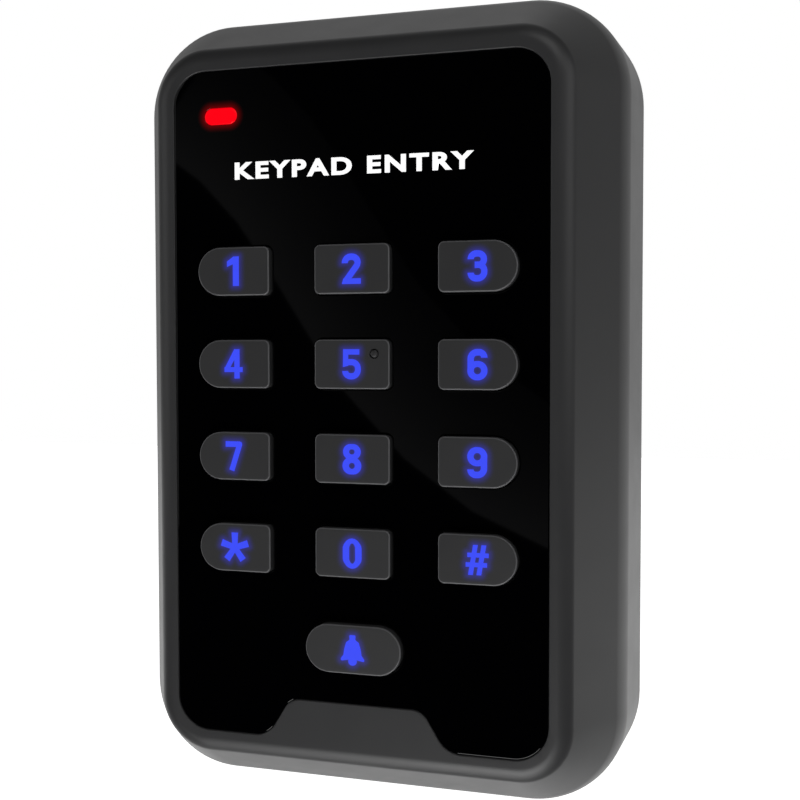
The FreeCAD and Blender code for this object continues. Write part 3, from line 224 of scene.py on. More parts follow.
def cap(bm: bmesh.types.BMesh, *rings: list) -> None:
    """Fills the flat space inside one ring of edges, or between several."""
    edges = [edge for ring in rings for edge in ring]
    if len(rings) == 1:
        bmesh.ops.edgeloop_fill(bm, edges=edges)
        return
    verts = list({vert for edge in edges for vert in edge.verts})
    bmesh.ops.scale(bm, vec=(1.0 / MM,) * 3, verts=verts)
    bmesh.ops.triangle_fill(bm, use_beauty=True, edges=edges, normal=FORWARD)
    bmesh.ops.scale(bm, vec=(MM,) * 3, verts=verts)


def quarter_round(radius: float, y: float, toward: float, steps: int = 4) -> list[tuple[float, float]]:
    """The profile of an edge that turns from a wall into a flat face.

    Args:
        radius: The edge's radius.
        y: Where the flat face is.
        toward: -1 for an outline whose wall is outside the face, and 1 for a hole's.
        steps: How many sides make the round.

    Returns:
        A growth and a y for each step, from the wall to the face.
    """
    rings = []
    for step in range(steps + 1):
        angle = math.pi / 2.0 * step / steps
        growth = toward * radius * (1.0 - math.cos(angle))
        rings.append((growth, y + radius * (1.0 - math.sin(angle))))
    return rings


def wire_path(corners: Sequence[Corner], segments: int) -> list[Vector]:
    """Rounds the corners of an open path whose two ends are sharp.

    Args:
        corners: The path's corners, the first and the last without a radius.
        segments: How many sides make each round corner.

    Returns:
        The path's points, in order.
    """
    points = Outline(tuple(corners), segments).points()
    end = Vector((corners[-1].x, 0.0, corners[-1].z))
    last = min(range(len(points)), key=lambda index: (points[index] - end).length)
    return points[: last + 1]


class Shading(Enum):
    """How a piece's faces meet."""

    ROUNDED = math.radians(38.0)
    CRISP = math.radians(7.0)


def make_piece(
    name: str,
    bm: bmesh.types.BMesh,
    finish: "Finish",
    body: str = CASE_BODY,
    stands_for: Sequence[str] = (),
    shading: Shading = Shading.ROUNDED,
) -> bpy.types.Object:
    """Turns a finished mesh into a piece of the object.

    Args:
        name: The piece's name.
        bm: The mesh, which is freed.
        finish: What it is made of.
        body: The body it moves with.
        stands_for: The CAD nodes it replaces.
        shading: How sharply its faces meet.

    Returns:
        The new object, at the origin.
    """
    bmesh.ops.remove_doubles(bm, verts=bm.verts, dist=HAIR)
    bmesh.ops.recalc_face_normals(bm, faces=bm.faces)
    mesh = bpy.data.meshes.new(name)
    bm.to_mesh(mesh)
    bm.free()
    mesh.shade_smooth()
    mesh.set_sharp_from_angle(angle=shading.value)
    mesh.materials.append(finish.material())
    piece = bpy.data.objects.new(name, mesh)
    bpy.context.scene.collection.objects.link(piece)
    weighted = piece.modifiers.new("even_shading", "WEIGHTED_NORMAL")
    weighted.keep_sharp = True
    weighted.weight = 60
    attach(piece, body)
    if stands_for:
        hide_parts(*stands_for)
    LOG.info("%s: %d faces, rides on %s", name, len(mesh.polygons), body)
    return piece


def carve(
    bm: bmesh.types.BMesh, tool: bmesh.types.BMesh, operation: str = "DIFFERENCE"
) -> bmesh.types.BMesh:
    """Cuts one solid out of another, or joins two.

    Args:
        bm: The solid to change, which is freed.
        tool: The solid to cut away or to join, which is freed.
        operation: DIFFERENCE or UNION.

    Returns:
        The new solid.
    """
    holders = []
    for label, source in (("carved", bm), ("tool", tool)):
        bmesh.ops.recalc_face_normals(source, faces=source.faces)
        mesh = bpy.data.meshes.new(label)
        source.to_mesh(mesh)
        source.free()
        holder = bpy.data.objects.new(label, mesh)
        bpy.context.scene.collection.objects.link(holder)
        holders.append(holder)
    base, cutter = holders
    boolean = base.modifiers.new("carve", "BOOLEAN")
    boolean.object = cutter
    boolean.operation = operation
    boolean.solver = "EXACT"
    result = bmesh.new()
    result.from_object(base, bpy.context.evaluated_depsgraph_get())
    for holder in holders:
        mesh = holder.data
        bpy.data.objects.remove(holder)
        bpy.data.meshes.remove(mesh)
    return result


def slab(outline: Outline, back: float, front: float) -> bmesh.types.BMesh:
    """A flat solid between two depths."""
    bm = bmesh.new()
    first, last = loft(bm, outline, [(0.0, back), (0.0, front)])
    cap(bm, first)
    cap(bm, last)
    return bm


def turned(
    profile: Sequence[tuple[float, float]], centre: Vector, axis: Vector, steps: int = 48
) -> bmesh.types.BMesh:
    """A solid turned about an axis from a section that starts and ends on it.

    Args:
        profile: A radius and a distance along the axis for each point.
        centre: A point on the axis, from which the distances count.
        axis: The axis's direction.
        steps: How many sides make the full turn.

    Returns:
        The solid.
    """
    bm = bmesh.new()
    across = axis.orthogonal().normalized()
    verts = [bm.verts.new(centre + across * radius + axis * along) for radius, along in profile]
    edges = [bm.edges.new(pair) for pair in zip(verts, verts[1:])]
    bmesh.ops.spin(
        bm,
        geom=verts + edges,
        cent=centre,
        axis=axis,
        angle=math.tau,
        steps=steps,
        use_merge=True,
        use_duplicate=False,
    )
    bmesh.ops.remove_doubles(bm, verts=bm.verts, dist=HAIR)
    bmesh.ops.recalc_face_normals(bm, faces=bm.faces)
    return bm


# ---------------------------------------------------------------- finishes


def linear(hex_colour: str) -> tuple[float, float, float, float]:
    """Turns an sRGB hex colour into the linear values that shaders take."""
    values = []
    for start in (1, 3, 5):
        level = int(hex_colour[start : start + 2], 16) / 255.0
        values.append(level / 12.92 if level <= 0.04045 else ((level + 0.055) / 1.055) ** 2.4)
    return (*values, 1.0)


def add_node(
    tree: bpy.types.NodeTree, kind: str, inputs: dict | None = None, **settings: object
) -> bpy.types.Node:
    """Adds a node with its settings, and sets or links its inputs.

    Args:
        tree: The node tree to add to.
        kind: The node's type.
        inputs: A number, a colour or another node's socket for each named or numbered input.
        **settings: The node's own options.

    Returns:
        The new node.
    """
    node = tree.nodes.new(kind)
    for option, setting in settings.items():
        setattr(node, option, setting)
    for key, given in (inputs or {}).items():
        if isinstance(given, bpy.types.NodeSocket):
            tree.links.new(given, node.inputs[key])
        else:
            node.inputs[key].default_value = given
    return node


def blend_colours(
    tree: bpy.types.NodeTree, factor: bpy.types.NodeSocket, first: object, second: object
) -> bpy.types.NodeSocket:
    """Mixes two colours.

    Args:
        tree: The node tree to add to.
        factor: Where the mix stands, from 0 for the first colour to 1 for the second.
        first: A colour or a colour socket.
        second: A colour or a colour socket.

    Returns:
        The mixed colour's socket.
    """
    inputs = {0: factor, 6: first, 7: second}
    return add_node(tree, "ShaderNodeMix", inputs, data_type="RGBA").outputs[2]


@dataclass(frozen=True)
class Finish:
    """A solid material with a fine grain: what every moulded, cast or drawn surface has.

    The grain is a bump of a real size, and a slower mottling varies its colour and gloss, which
    keeps a plain surface from looking like paint on a screen.
    """

    name: str
    colour: str
    roughness: float = 0.5
    metallic: float = 0.0
    ior: float = 1.5
    grain: float = 0.30 * MM
    grain_depth: float = 0.003 * MM
    mottle: float = 6.0 * MM
    mottle_colour: float = 0.06
    mottle_roughness: float = 0.04
    coat: float = 0.0
    coat_roughness: float = 0.1
    specular: float = 0.5

    def material(self) -> bpy.types.Material:
        """Makes the material the first time it is asked for, and gives it back after that."""
        existing = bpy.data.materials.get(self.name)
        if existing:
            return existing
        material = bpy.data.materials.new(self.name)
        material.use_nodes = True
        tree = material.node_tree
        tree.nodes.clear()
        place = add_node(tree, "ShaderNodeTexCoord").outputs["Object"]
        shader = add_node(
            tree,
            "ShaderNodeBsdfPrincipled",
            {
                "Metallic": self.metallic,
                "IOR": self.ior,
                "Specular IOR Level": self.specular,
                "Coat Weight": self.coat,
                "Coat Roughness": self.coat_roughness,
            },
        )
        self.dress(tree, shader, place)
        add_node(tree, "ShaderNodeOutputMaterial", {"Surface": shader.outputs["BSDF"]})
        return material

    def dress(
        self, tree: bpy.types.NodeTree, shader: bpy.types.Node, place: bpy.types.NodeSocket
    ) -> None:
        """Adds the colour, the gloss and the grain.

        Args:
            tree: The material's node tree.
            shader: Its surface shader.
            place: The object's own coordinates.
        """
        self.add_mottle(tree, shader, place)
        self.add_grain(tree, shader, place)

    def add_mottle(
        self, tree: bpy.types.NodeTree, shader: bpy.types.Node, place: bpy.types.NodeSocket
    ) -> None:
        """Varies the colour and the roughness slowly across the surface."""
        cloud = add_node(
            tree,
            "ShaderNodeTexNoise",
            {"Vector": place, "Scale": 1.0 / self.mottle, "Detail": 3.0, "Roughness": 0.6},
        )
        base = linear(self.colour)
        darker = tuple(level * (1.0 - self.mottle_colour) for level in base[:3]) + (1.0,)
        lighter = tuple(level * (1.0 + self.mottle_colour) for level in base[:3]) + (1.0,)
        tint = blend_colours(tree, cloud.outputs["Fac"], darker, lighter)
        tree.links.new(tint, shader.inputs["Base Color"])
        gloss = add_node(
            tree,
            "ShaderNodeMapRange",
            {
                "Value": cloud.outputs["Fac"],
                "To Min": self.roughness - self.mottle_roughness,
                "To Max": self.roughness + self.mottle_roughness,
            },
        )
        tree.links.new(gloss.outputs["Result"], shader.inputs["Roughness"])

    def add_grain(
        self, tree: bpy.types.NodeTree, shader: bpy.types.Node, place: bpy.types.NodeSocket
    ) -> None:
        """Adds the fine bump that the mould or the tool leaves."""
        grain = add_node(
            tree,
            "ShaderNodeTexNoise",
            {"Vector": place, "Scale": 1.0 / self.grain, "Detail": 2.0},
        )
        bump = add_node(
            tree,
            "ShaderNodeBump",
            {"Height": grain.outputs["Fac"], "Distance": self.grain_depth, "Strength": 1.0},
        )
        tree.links.new(bump.outputs["Normal"], shader.inputs["Normal"])


# How far apart a wave texture's bands are at a scale of 1.
WAVE_SPAN = 0.314


@dataclass(frozen=True)
class StripeFinish(Finish):
    """A material with fine parallel lines: wound wire, a knurl, or a drawn can's marks."""

    pitch: float = 0.25 * MM
    line_depth: float = 0.05 * MM
    direction: str = "Z"

    def add_grain(
        self, tree: bpy.types.NodeTree, shader: bpy.types.Node, place: bpy.types.NodeSocket
    ) -> None:
        """Adds the lines as a bump."""
        lines = add_node(
            tree,
            "ShaderNodeTexWave",
            {"Vector": place, "Scale": WAVE_SPAN / self.pitch, "Distortion": 0.4, "Detail": 1.0},
            wave_type="BANDS",
            bands_direction=self.direction,
        )
        bump = add_node(
            tree,
            "ShaderNodeBump",
            {"Height": lines.outputs["Fac"], "Distance": self.line_depth, "Strength": 1.0},
        )
        tree.links.new(bump.outputs["Normal"], shader.inputs["Normal"])


@dataclass(frozen=True)
class BoardFinish(Finish):
    """Solder mask over a glass laminate: green lacquer, with copper tracks standing under it."""

    track_colour: str = "#1d7a3c"
    track_pitch: float = 1.6 * MM
    track_fold: float = 0.22
    track_edge: tuple[float, float] = (0.10, 0.13)

    def add_mottle(
        self, tree: bpy.types.NodeTree, shader: bpy.types.Node, place: bpy.types.NodeSocket
    ) -> None:
        """Draws tracks as the edges of square cells, lighter than the bare mask."""
        cells = add_node(
            tree,
            "ShaderNodeTexVoronoi",
            {"Vector": place, "Scale": 1.0 / (3.0 * self.track_pitch)},
            distance="CHEBYCHEV",
            feature="F1",
        )
        folded = {0: cells.outputs["Distance"], 1: self.track_fold}
        rings = add_node(tree, "ShaderNodeMath", folded, operation="PINGPONG")
        start, end = self.track_edge
        tracks = add_node(
            tree,
            "ShaderNodeMapRange",
            {"Value": rings.outputs[0], "From Min": start, "From Max": end},
        )
        colours = (linear(self.colour), linear(self.track_colour))
        tint = blend_colours(tree, tracks.outputs["Result"], *colours)
        tree.links.new(tint, shader.inputs["Base Color"])
        shader.inputs["Roughness"].default_value = self.roughness


@dataclass(frozen=True)
class GlowFinish(Finish):
    """A material that gives out light of its own, a little unevenly."""

    glow: str = "#ffffff"
    strength: float = 1.0
    unevenness: float = 0.05
    cloud_size: float = 1.5 * MM

    def dress(
        self, tree: bpy.types.NodeTree, shader: bpy.types.Node, place: bpy.types.NodeSocket
    ) -> None:
        """Adds the lit colour, a little uneven as a light behind a moulding is."""
        super().dress(tree, shader, place)
        cloud = add_node(
            tree, "ShaderNodeTexNoise", {"Vector": place, "Scale": 1.0 / self.cloud_size}
        )
        low, high = self.strength * (1.0 - self.unevenness), self.strength * (1.0 + self.unevenness)
        level = add_node(
            tree,
            "ShaderNodeMapRange",
            {"Value": cloud.outputs["Fac"], "To Min": low, "To Max": high},
        )
        shader.inputs["Emission Color"].default_value = linear(self.glow)
        tree.links.new(level.outputs["Result"], shader.inputs["Emission Strength"])


@dataclass(frozen=True)
class HaloFinish(Finish):
    """A dark plastic into which light bleeds beside a lit mark, as far as an attribute says, with a
    painted highlight along its edge, as far as another says.
    """

    halo: str = "#2a20ff"
    strength: float = 0.4
    attribute: str = "halo"
    painted_edge_highlight: str = "#6e6e70"
    painted_edge_highlight_attribute: str = "painted_edge_highlight"

    def dress(
        self, tree: bpy.types.NodeTree, shader: bpy.types.Node, place: bpy.types.NodeSocket
    ) -> None:
        """Adds the light that bleeds into the plastic, and a painted highlight: a paler line along the
        edge's round.
        """
        super().dress(tree, shader, place)
        plain = shader.inputs["Base Color"].links[0].from_socket
        edge = add_node(tree, "ShaderNodeAttribute", attribute_name=self.painted_edge_highlight_attribute)
        tint = blend_colours(tree, edge.outputs["Fac"], plain, linear(self.painted_edge_highlight))
        tree.links.new(tint, shader.inputs["Base Color"])
        bleed = add_node(tree, "ShaderNodeAttribute", attribute_name=self.attribute)
        level = add_node(
            tree, "ShaderNodeMath", {0: bleed.outputs["Fac"], 1: self.strength}, operation="MULTIPLY"
        )
        shader.inputs["Emission Color"].default_value = linear(self.halo)
        tree.links.new(level.outputs[0], shader.inputs["Emission Strength"])


@dataclass(frozen=True)
class PanelFinish(Finish):
    """Clear acrylic over black print: a deep gloss, with the status light's glow around its hole."""

    lamp_x: float = 0.0
    lamp_z: float = 0.0
    lamp_run: float = 1.0 * MM
    lamp_radius: float = 1.0 * MM
    glow_reach: float = 1.3 * MM
    glow: str = "#ff0010"
    glow_strength: float = 0.13

    def dress(
        self, tree: bpy.types.NodeTree, shader: bpy.types.Node, place: bpy.types.NodeSocket
    ) -> None:
        """Adds the gloss, and the glow by the distance from the light's oblong hole."""
        super().dress(tree, shader, place)
        centred = add_node(
            tree, "ShaderNodeMapping", {"Vector": place, "Location": (-self.lamp_x, 0.0, -self.lamp_z)}
        )
        parts = add_node(tree, "ShaderNodeSeparateXYZ", {0: centred.outputs[0]})
        across = add_node(tree, "ShaderNodeMath", {0: parts.outputs["X"]}, operation="ABSOLUTE")
        beyond = add_node(
            tree, "ShaderNodeMath", {0: across.outputs[0], 1: self.lamp_run}, operation="SUBTRACT"
        )
        clipped = add_node(tree, "ShaderNodeMath", {0: beyond.outputs[0], 1: 0.0}, operation="MAXIMUM")
        flat = add_node(
            tree, "ShaderNodeCombineXYZ", {0: clipped.outputs[0], 1: parts.outputs["Z"]}
        )
        away = add_node(tree, "ShaderNodeVectorMath", {0: flat.outputs[0]}, operation="LENGTH")
        level = add_node(
            tree,
            "ShaderNodeMapRange",
            {
                "Value": away.outputs["Value"],
                "From Min": self.lamp_radius,
                "From Max": self.lamp_radius + self.glow_reach,
                "To Min": 1.0,
                "To Max": 0.0,
            },
        )
        soft = add_node(tree, "ShaderNodeMath", {0: level.outputs[0], 1: 2.0}, operation="POWER")
        lit = add_node(
            tree, "ShaderNodeMath", {0: soft.outputs[0], 1: self.glow_strength}, operation="MULTIPLY"
        )
        shader.inputs["Emission Color"].default_value = linear(self.glow)
        tree.links.new(lit.outputs[0], shader.inputs["Emission Strength"])


# The case is ABS moulded with a fine spark texture: a dark satin, whose highlights are soft.
CASE_PLASTIC = Finish("case_abs_satin", "#3e3e3f", 0.42, mottle_colour=0.04)
# The keys are plastic with a soft-touch finish: duller than the case, with a painted highlight
# along the front edge, and bluish beside a legend, where the light under it bleeds into the plastic.
KEY_PLASTIC = HaloFinish("key_softtouch_satin", "#3b3b3c", 0.50, halo="#3a34ff", strength=0.2)
# The legends are clear plastic lit from behind: an even blue, with little shading of its own.
LIT_LEGEND = GlowFinish(
    "legend_clear_lit", "#101240", 0.5, glow="#3a4bf6", strength=1.0, specular=0.3
)
# The words are screen-printed white ink: flat and opaque. Real ink doesn't glow. This one is
# given a glow so that it reads as white in the dim light on the panel's front.
WHITE_INK = GlowFinish("print_white_ink", "#ffffff", 0.55, glow="#ffffff", strength=0.62)
# The status window is clear moulded plastic over a red light: a full red with a soft gloss.
LENS_PLASTIC = GlowFinish(
    "lens_red_lit", "#5a0006", 0.3, glow="#fb0012", strength=1.0, specular=0.25
)
# The mat is moulded translucent silicone, drawn opaque: a milky grey with a slight sheen.
SILICONE = Finish(
    "silicone_moulded", "#d6d9dc", 0.42, grain=0.2 * MM, coat=0.1, coat_roughness=0.3
)
# The contact pills are silicone loaded with carbon: nearly black, dull and faintly grainy.
CARBON = Finish("pill_carbon_silicone", "#18181a", 0.75, grain=0.15 * MM, grain_depth=0.02 * MM)

# The inner and rear pieces, which keep their CAD shapes.
CARRIED_FINISHES: dict[str, Finish] = {
    # Moulded ABS with a coarser spark texture: a dull charcoal.
    "back_plate": Finish("plate_abs_textured", "#2c2c2d", 0.55, grain=0.35 * MM, grain_depth=0.012 * MM),
    # Foam and rubber: dark, matt and grainy.
    "rear_seal": Finish("seal_foam", "#151516", 0.9, grain=0.5 * MM, grain_depth=0.08 * MM),
    "cable_grommet": Finish("grommet_rubber", "#1b1b1c", 0.62, grain=0.2 * MM),
    # Acrylic foam tape: off-white and matt.
    "panel_tape": Finish("tape_acrylic_foam", "#d8d7d2", 0.7, grain=0.4 * MM, grain_depth=0.02 * MM),
    # Solder mask over copper: green lacquer with a glossy coat.
    "main_board": BoardFinish("board_solder_mask", "#0e5a2a", 0.3, coat=0.4),
    # Enamelled copper wire, wound: coppery lines with a clear gloss.
    "antenna_coil": StripeFinish("coil_enamelled_copper", "#b5562a", 0.3, 0.85, direction="Y"),
    # Clear moulded epoxy over a coloured chip: glassy.
    "status_light": Finish("diode_epoxy_red", "#e06058", 0.15, coat=0.5, mottle=0.8 * MM),
    "key_lights": Finish("diode_epoxy_clear", "#dfe4f4", 0.15, coat=0.5, mottle=0.8 * MM),
    # Filled moulded epoxy: black and dull.
    "control_chip": Finish("chip_moulded_epoxy", "#1a1a1c", 0.6, grain=0.12 * MM, grain_depth=0.01 * MM),
    "reader_chip": Finish("chip_epoxy_small", "#1c1c1e", 0.6, grain=0.12 * MM, grain_depth=0.01 * MM),
    # A drawn metal can: bright and smooth.
    "clock_crystal": Finish("crystal_drawn_can", "#c3c4c8", 0.28, 1.0, grain=0.15 * MM),
    # Filled moulded epoxy again.
    "voltage_regulator": Finish("regulator_epoxy", "#19191b", 0.55, grain=0.12 * MM),
    # Glossy moulded plastic: one blue, one black.
    "door_relay": Finish("relay_moulded_blue", "#1b3f94", 0.3, grain=0.2 * MM),
    "buzzer": Finish("buzzer_moulded_black", "#121213", 0.28, grain=0.25 * MM),
    # A metal can in a plastic sleeve: silvery grey, with faint lines.
    "filter_capacitor": StripeFinish("capacitor_sleeved_can", "#8f9298", 0.35, 0.7, direction="Y"),
    # Moulded polyamide: green, with a soft gloss.
    "terminal_block": Finish("terminal_polyamide_green", "#12803e", 0.4, grain=0.25 * MM),
    # Zinc-plated steel: bright, with fine turned lines.
    "terminal_screws": StripeFinish("screw_zinc_plated", "#c4c6c9", 0.25, 1.0, pitch=0.2 * MM),
    # Glazed ceramic: dark and glossy, and a little uneven.
    "chip_resistors": Finish("resistor_glazed", "#1d1d22", 0.25, mottle=1.0 * MM, mottle_colour=0.2),
    # Small mouldings: satin, each in its own colour.
    "setup_header": Finish("header_moulded", "#141414", 0.45, grain=0.2 * MM),
    "setup_jumper": Finish("jumper_moulded_blue", "#22459c", 0.35, grain=0.2 * MM),
    "tamper_switch": Finish("switch_moulded_grey", "#37383b", 0.45, grain=0.2 * MM),
    "tamper_plunger": Finish("plunger_acetal", "#c9c3b2", 0.4, grain=0.2 * MM),
    # Blackened steel: a dark metal with a low shine.
    "case_screw": Finish("screw_black_oxide", "#26272a", 0.38, 0.9, grain=0.15 * MM),
    # Knurled brass: yellow metal with raised lines.
    "screw_insert": StripeFinish(
        "insert_knurled_brass", "#d8b25a", 0.3, 1.0, pitch=0.4 * MM, direction="X"
    ),
    # Zinc-plated steel: bright and smooth.
    "board_screws": Finish("screw_zinc_clear", "#b9bbbf", 0.3, 1.0, grain=0.15 * MM),
}


def dress_carried_nodes() -> None:
    """Gives every CAD node that is still shown the finish of its real material."""
    for name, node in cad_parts.items():
        finish = CARBON if name.startswith("contact_pill_") else CARRIED_FINISHES.get(name)
        if finish is None:
            continue
        node.data.materials.clear()
        node.data.materials.append(finish.material())
        LOG.info("%s: dressed as %s", name, finish.name)


# ---------------------------------------------------------------- keypad places


KEY_NAMES = ("1", "2", "3", "4", "5", "6", "7", "8", "9", "star", "0", "hash", "bell")


@dataclass(frozen=True)
class KeyShape:
    """A key's stem: its name, its centre, its width and which of its ends are half circles."""

    name: str
    x: float
    z: float
    width: float
    height: float
    corner: float = 0.9 * MM

    @classmethod
    def of_node(cls, name: str, flange: float) -> "KeyShape":
        """Reads a key's place and size from its CAD node.

        Args:
            name: The key's name.
            flange: How far its flange stands out around its stem.

        Returns:
            The key's shape.
        """
        low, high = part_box(f"keycap_{name}")
        middle = (low + high) / 2.0
        width, height = high.x - low.x - 2.0 * flange, high.z - low.z - 2.0 * flange
        return cls(name, round(middle.x, 6), middle.z, width, height)

    def outline(self) -> Outline:
        """The stem's outline: round at the outer end of an outer key, and at both of the bell's."""
        left = self.height if self.x < -HAIR or self.name == "bell" else self.corner
        right = self.height if self.x > HAIR or self.name == "bell" else self.corner
        return rounded_box(self.width, self.height, left, right, 10).moved(self.x, self.z)


FLANGE = 0.9 * MM
KEY_SHAPES = [KeyShape.of_node(name, FLANGE) for name in KEY_NAMES]


@dataclass(frozen=True)
class WindowShape:
    """The status window's stem: an oblong with round ends."""

    x: float
    z: float
    width: float
    height: float

    @classmethod
    def of_node(cls, flange: float = 0.8 * MM) -> "WindowShape":
        """Reads the window's place and size from its CAD node."""
        low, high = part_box("status_lens")
        middle = (low + high) / 2.0
        slimmer, raised = 0.25 * MM, 0.2 * MM
        height = high.z - low.z - 2.0 * flange - slimmer
        return cls(middle.x, middle.z + raised, high.x - low.x - 2.0 * flange, height)

    def outline(self) -> Outline:
        """The stem's outline."""
        return rounded_box(self.width, self.height, self.height, self.height).moved(self.x, self.z)


LAMP = WindowShape.of_node()


# ---------------------------------------------------------------- case


@dataclass(frozen=True)
class Recess:
    """The outline of the panel's recess, with the case's tab standing into its foot."""

    half_width: float
    half_height: float
    corner: float = 5.2 * MM
    tab_rise: float = 6.0 * MM
    tab_top_half: float = 10.4 * MM
    tab_foot_half: float = 14.1 * MM
    tab_round: float = 2.7 * MM
    foot_round: float = 3.6 * MM

    def outline(self) -> Outline:
        """The outline, as a hole's or a panel's edge."""
        x, foot, top = self.half_width, -self.half_height, self.half_height
        rise = foot + self.tab_rise
        corners = (
            Corner(-x, foot, self.corner),
            Corner(-self.tab_foot_half, foot, self.foot_round),
            Corner(-self.tab_top_half, rise, self.tab_round),
            Corner(self.tab_top_half, rise, self.tab_round),
            Corner(self.tab_foot_half, foot, self.foot_round),
            Corner(x, foot, self.corner),
            Corner(x, top, self.corner),
            Corner(-x, top, self.corner),
        )
        return Outline(corners, 12)


@dataclass
class CaseShell:
    """The front case: a drafted, bevelled shell with the panel's recess and a hollow back.

    The rim's flat is given as a share of the round outside it.
    """

    corner: float = 15.0 * MM
    draft: float = math.radians(2.3)
    bevel_depth: float = 11.0 * MM
    bevel_inset: float = 6.96 * MM
    shoulder: float = 8.0 * MM
    rim_round: float = 3.0 * MM
    rim_flat: float = 0.62
    rim_edge: float = 0.16 * MM
    back_round: float = 0.5 * MM
    skirt_wall: float = 1.6 * MM
    cavity_wall: float = 3.2 * MM
    cavity_bevel: float = 4.3 * MM
    cavity_bevel_depth: float = 7.1 * MM
    floor_thick: float = 2.0 * MM
    ledge: float = 3.5 * MM
    window_gap: float = 0.2 * MM
    lamp_gap: float = 0.05 * MM
    post_x: float = 27.5 * MM
    post_z: float = 49.0 * MM
    post_radius: float = 2.7 * MM
    pilot_radius: float = 1.25 * MM
    pilot_depth: float = 4.2 * MM

    def __post_init__(self) -> None:
        """Reads the case's faces and its panel's recess from the CAD nodes."""
        low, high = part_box("front_housing")
        plate_low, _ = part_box("front_panel")
        _, tape_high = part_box("panel_tape")
        self.front, self.back = low.y, high.y
        proud = 0.02 * MM
        self.half_width, self.half_height = high.x + proud, high.z + proud
        self.floor_front = tape_high.y
        self.floor_back = self.floor_front + self.floor_thick
        gap = 0.1 * MM
        self.recess = Recess(-plate_low.x + gap, -plate_low.z + gap).outline()

    def wall_section(self) -> list[Vector]:
        """The wall's section, as the inset and the y of each point from the rim to the cavity's floor."""
        foot_y = self.front + self.bevel_depth
        drafted = math.tan(self.draft) * (self.back - foot_y)
        rim = drafted + self.bevel_inset
        straight = self.floor_back + self.cavity_bevel_depth
        corners = [
            Corner(self.cavity_wall + self.cavity_bevel, self.floor_back),
            Corner(self.cavity_wall, straight),
            Corner(self.cavity_wall, -self.ledge),
            Corner(self.skirt_wall, -self.ledge),
            Corner(self.skirt_wall, self.back),
            Corner(0.0, self.back, self.back_round),
            Corner(drafted, foot_y, self.shoulder),
            Corner(rim, self.front, self.rim_round),
            Corner(rim + self.rim_round * self.rim_flat, self.front),
        ]
        return wire_path(corners, 14)

    def build(self) -> bpy.types.Object:
        """Builds the shell and its openings.

        Returns:
            The case as one piece.
        """
        base = rounded_box(2 * self.half_width, 2 * self.half_height, self.corner, self.corner, 20)
        bm = bmesh.new()
        rings = loft(bm, base, [(-point.x, point.z) for point in self.wall_section()])
        edge = quarter_round(self.rim_edge, self.front, 1.0)
        recess_profile = [(0.0, self.floor_front), *edge]
        recess_rings = loft(bm, self.recess, recess_profile)
        cap(bm, rings[-1], recess_rings[-1])
        fronts, backs = self.add_windows(bm)
        cap(bm, recess_rings[0], *fronts)
        cap(bm, rings[0], *backs, *self.add_posts(bm))
        bm = self.cut_wall_openings(bm)
        return make_piece("case_shell", bm, CASE_PLASTIC, CASE_BODY, ["front_housing"])

    def add_windows(self, bm: bmesh.types.BMesh) -> tuple[list, list]:
        """Adds the windows for the keys and the status light through the floor.

        Args:
            bm: The case's mesh.

        Returns:
            The windows' rings on the floor's front, and those on its back.
        """
        fronts, backs = [], []
        depths = [(0.0, self.floor_front), (0.0, self.floor_back)]
        outlines = [key.outline().grown(self.window_gap) for key in KEY_SHAPES]
        outlines.append(LAMP.outline().grown(self.lamp_gap))
        for outline in outlines:
            front, back = loft(bm, outline, depths)
            fronts.append(front)
            backs.append(back)
        return fronts, backs

    def add_posts(self, bm: bmesh.types.BMesh) -> list:
        """Adds the four posts that the board is screwed to.

        Args:
            bm: The case's mesh.

        Returns:
            The posts' rings on the back of the floor.
        """
        low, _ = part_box("main_board")
        board_y = low.y
        roots = []
        for x in (-self.post_x, self.post_x):
            for z in (-self.post_z, self.post_z):
                post = rounded_box(2 * self.post_radius, 2 * self.post_radius, 1.0, 1.0, 8).moved(x, z)
                pilot = post.grown(self.pilot_radius - self.post_radius)
                root, tip = loft(bm, post, [(0.0, self.floor_back), (0.0, board_y)])
                mouth, end = loft(bm, pilot, [(0.0, board_y), (0.0, board_y - self.pilot_depth)])
                cap(bm, tip, mouth)
                cap(bm, end)
                roots.append(root)
        return roots

    def cut_wall_openings(self, bm: bmesh.types.BMesh) -> bmesh.types.BMesh:
        """Cuts the case screw's sunk hole below and the two hook slots above.

        Args:
            bm: The case's mesh.

        Returns:
            The cut mesh.
        """
        low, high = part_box("case_screw")
        middle = (low + high) / 2.0
        sink, hole, seat = 3.1 * MM, 1.75 * MM, 1.3 * MM
        inner = -self.half_height + self.cavity_wall
        foot = -self.half_height - 1.0 * MM
        profile = [
            (0.0, foot),
            (sink, foot),
            (sink, inner - seat),
            (hole, inner - seat),
            (hole, inner + 1.0 * MM),
            (0.0, inner + 1.0 * MM),
        ]
        axis = Vector((0.0, 0.0, 1.0))
        tool = turned(profile, Vector((middle.x, middle.y, 0.0)), axis)
        bm = carve(bm, tool)
        slot_half, slot_low, slot_high = 4.35 * MM, -8.85 * MM, -6.65 * MM
        rise = 1.85 * MM
        slot_x = 20.0 * MM
        for x in (-slot_x, slot_x):
            top = self.half_height - self.cavity_wall
            slot = rounded_box(2 * slot_half, rise + 1.0 * MM, 0.2 * MM, 0.2 * MM, 4)
            bm = carve(bm, slab(slot.moved(x, top + rise / 2.0 - 0.5 * MM), slot_high, slot_low))
        return bm


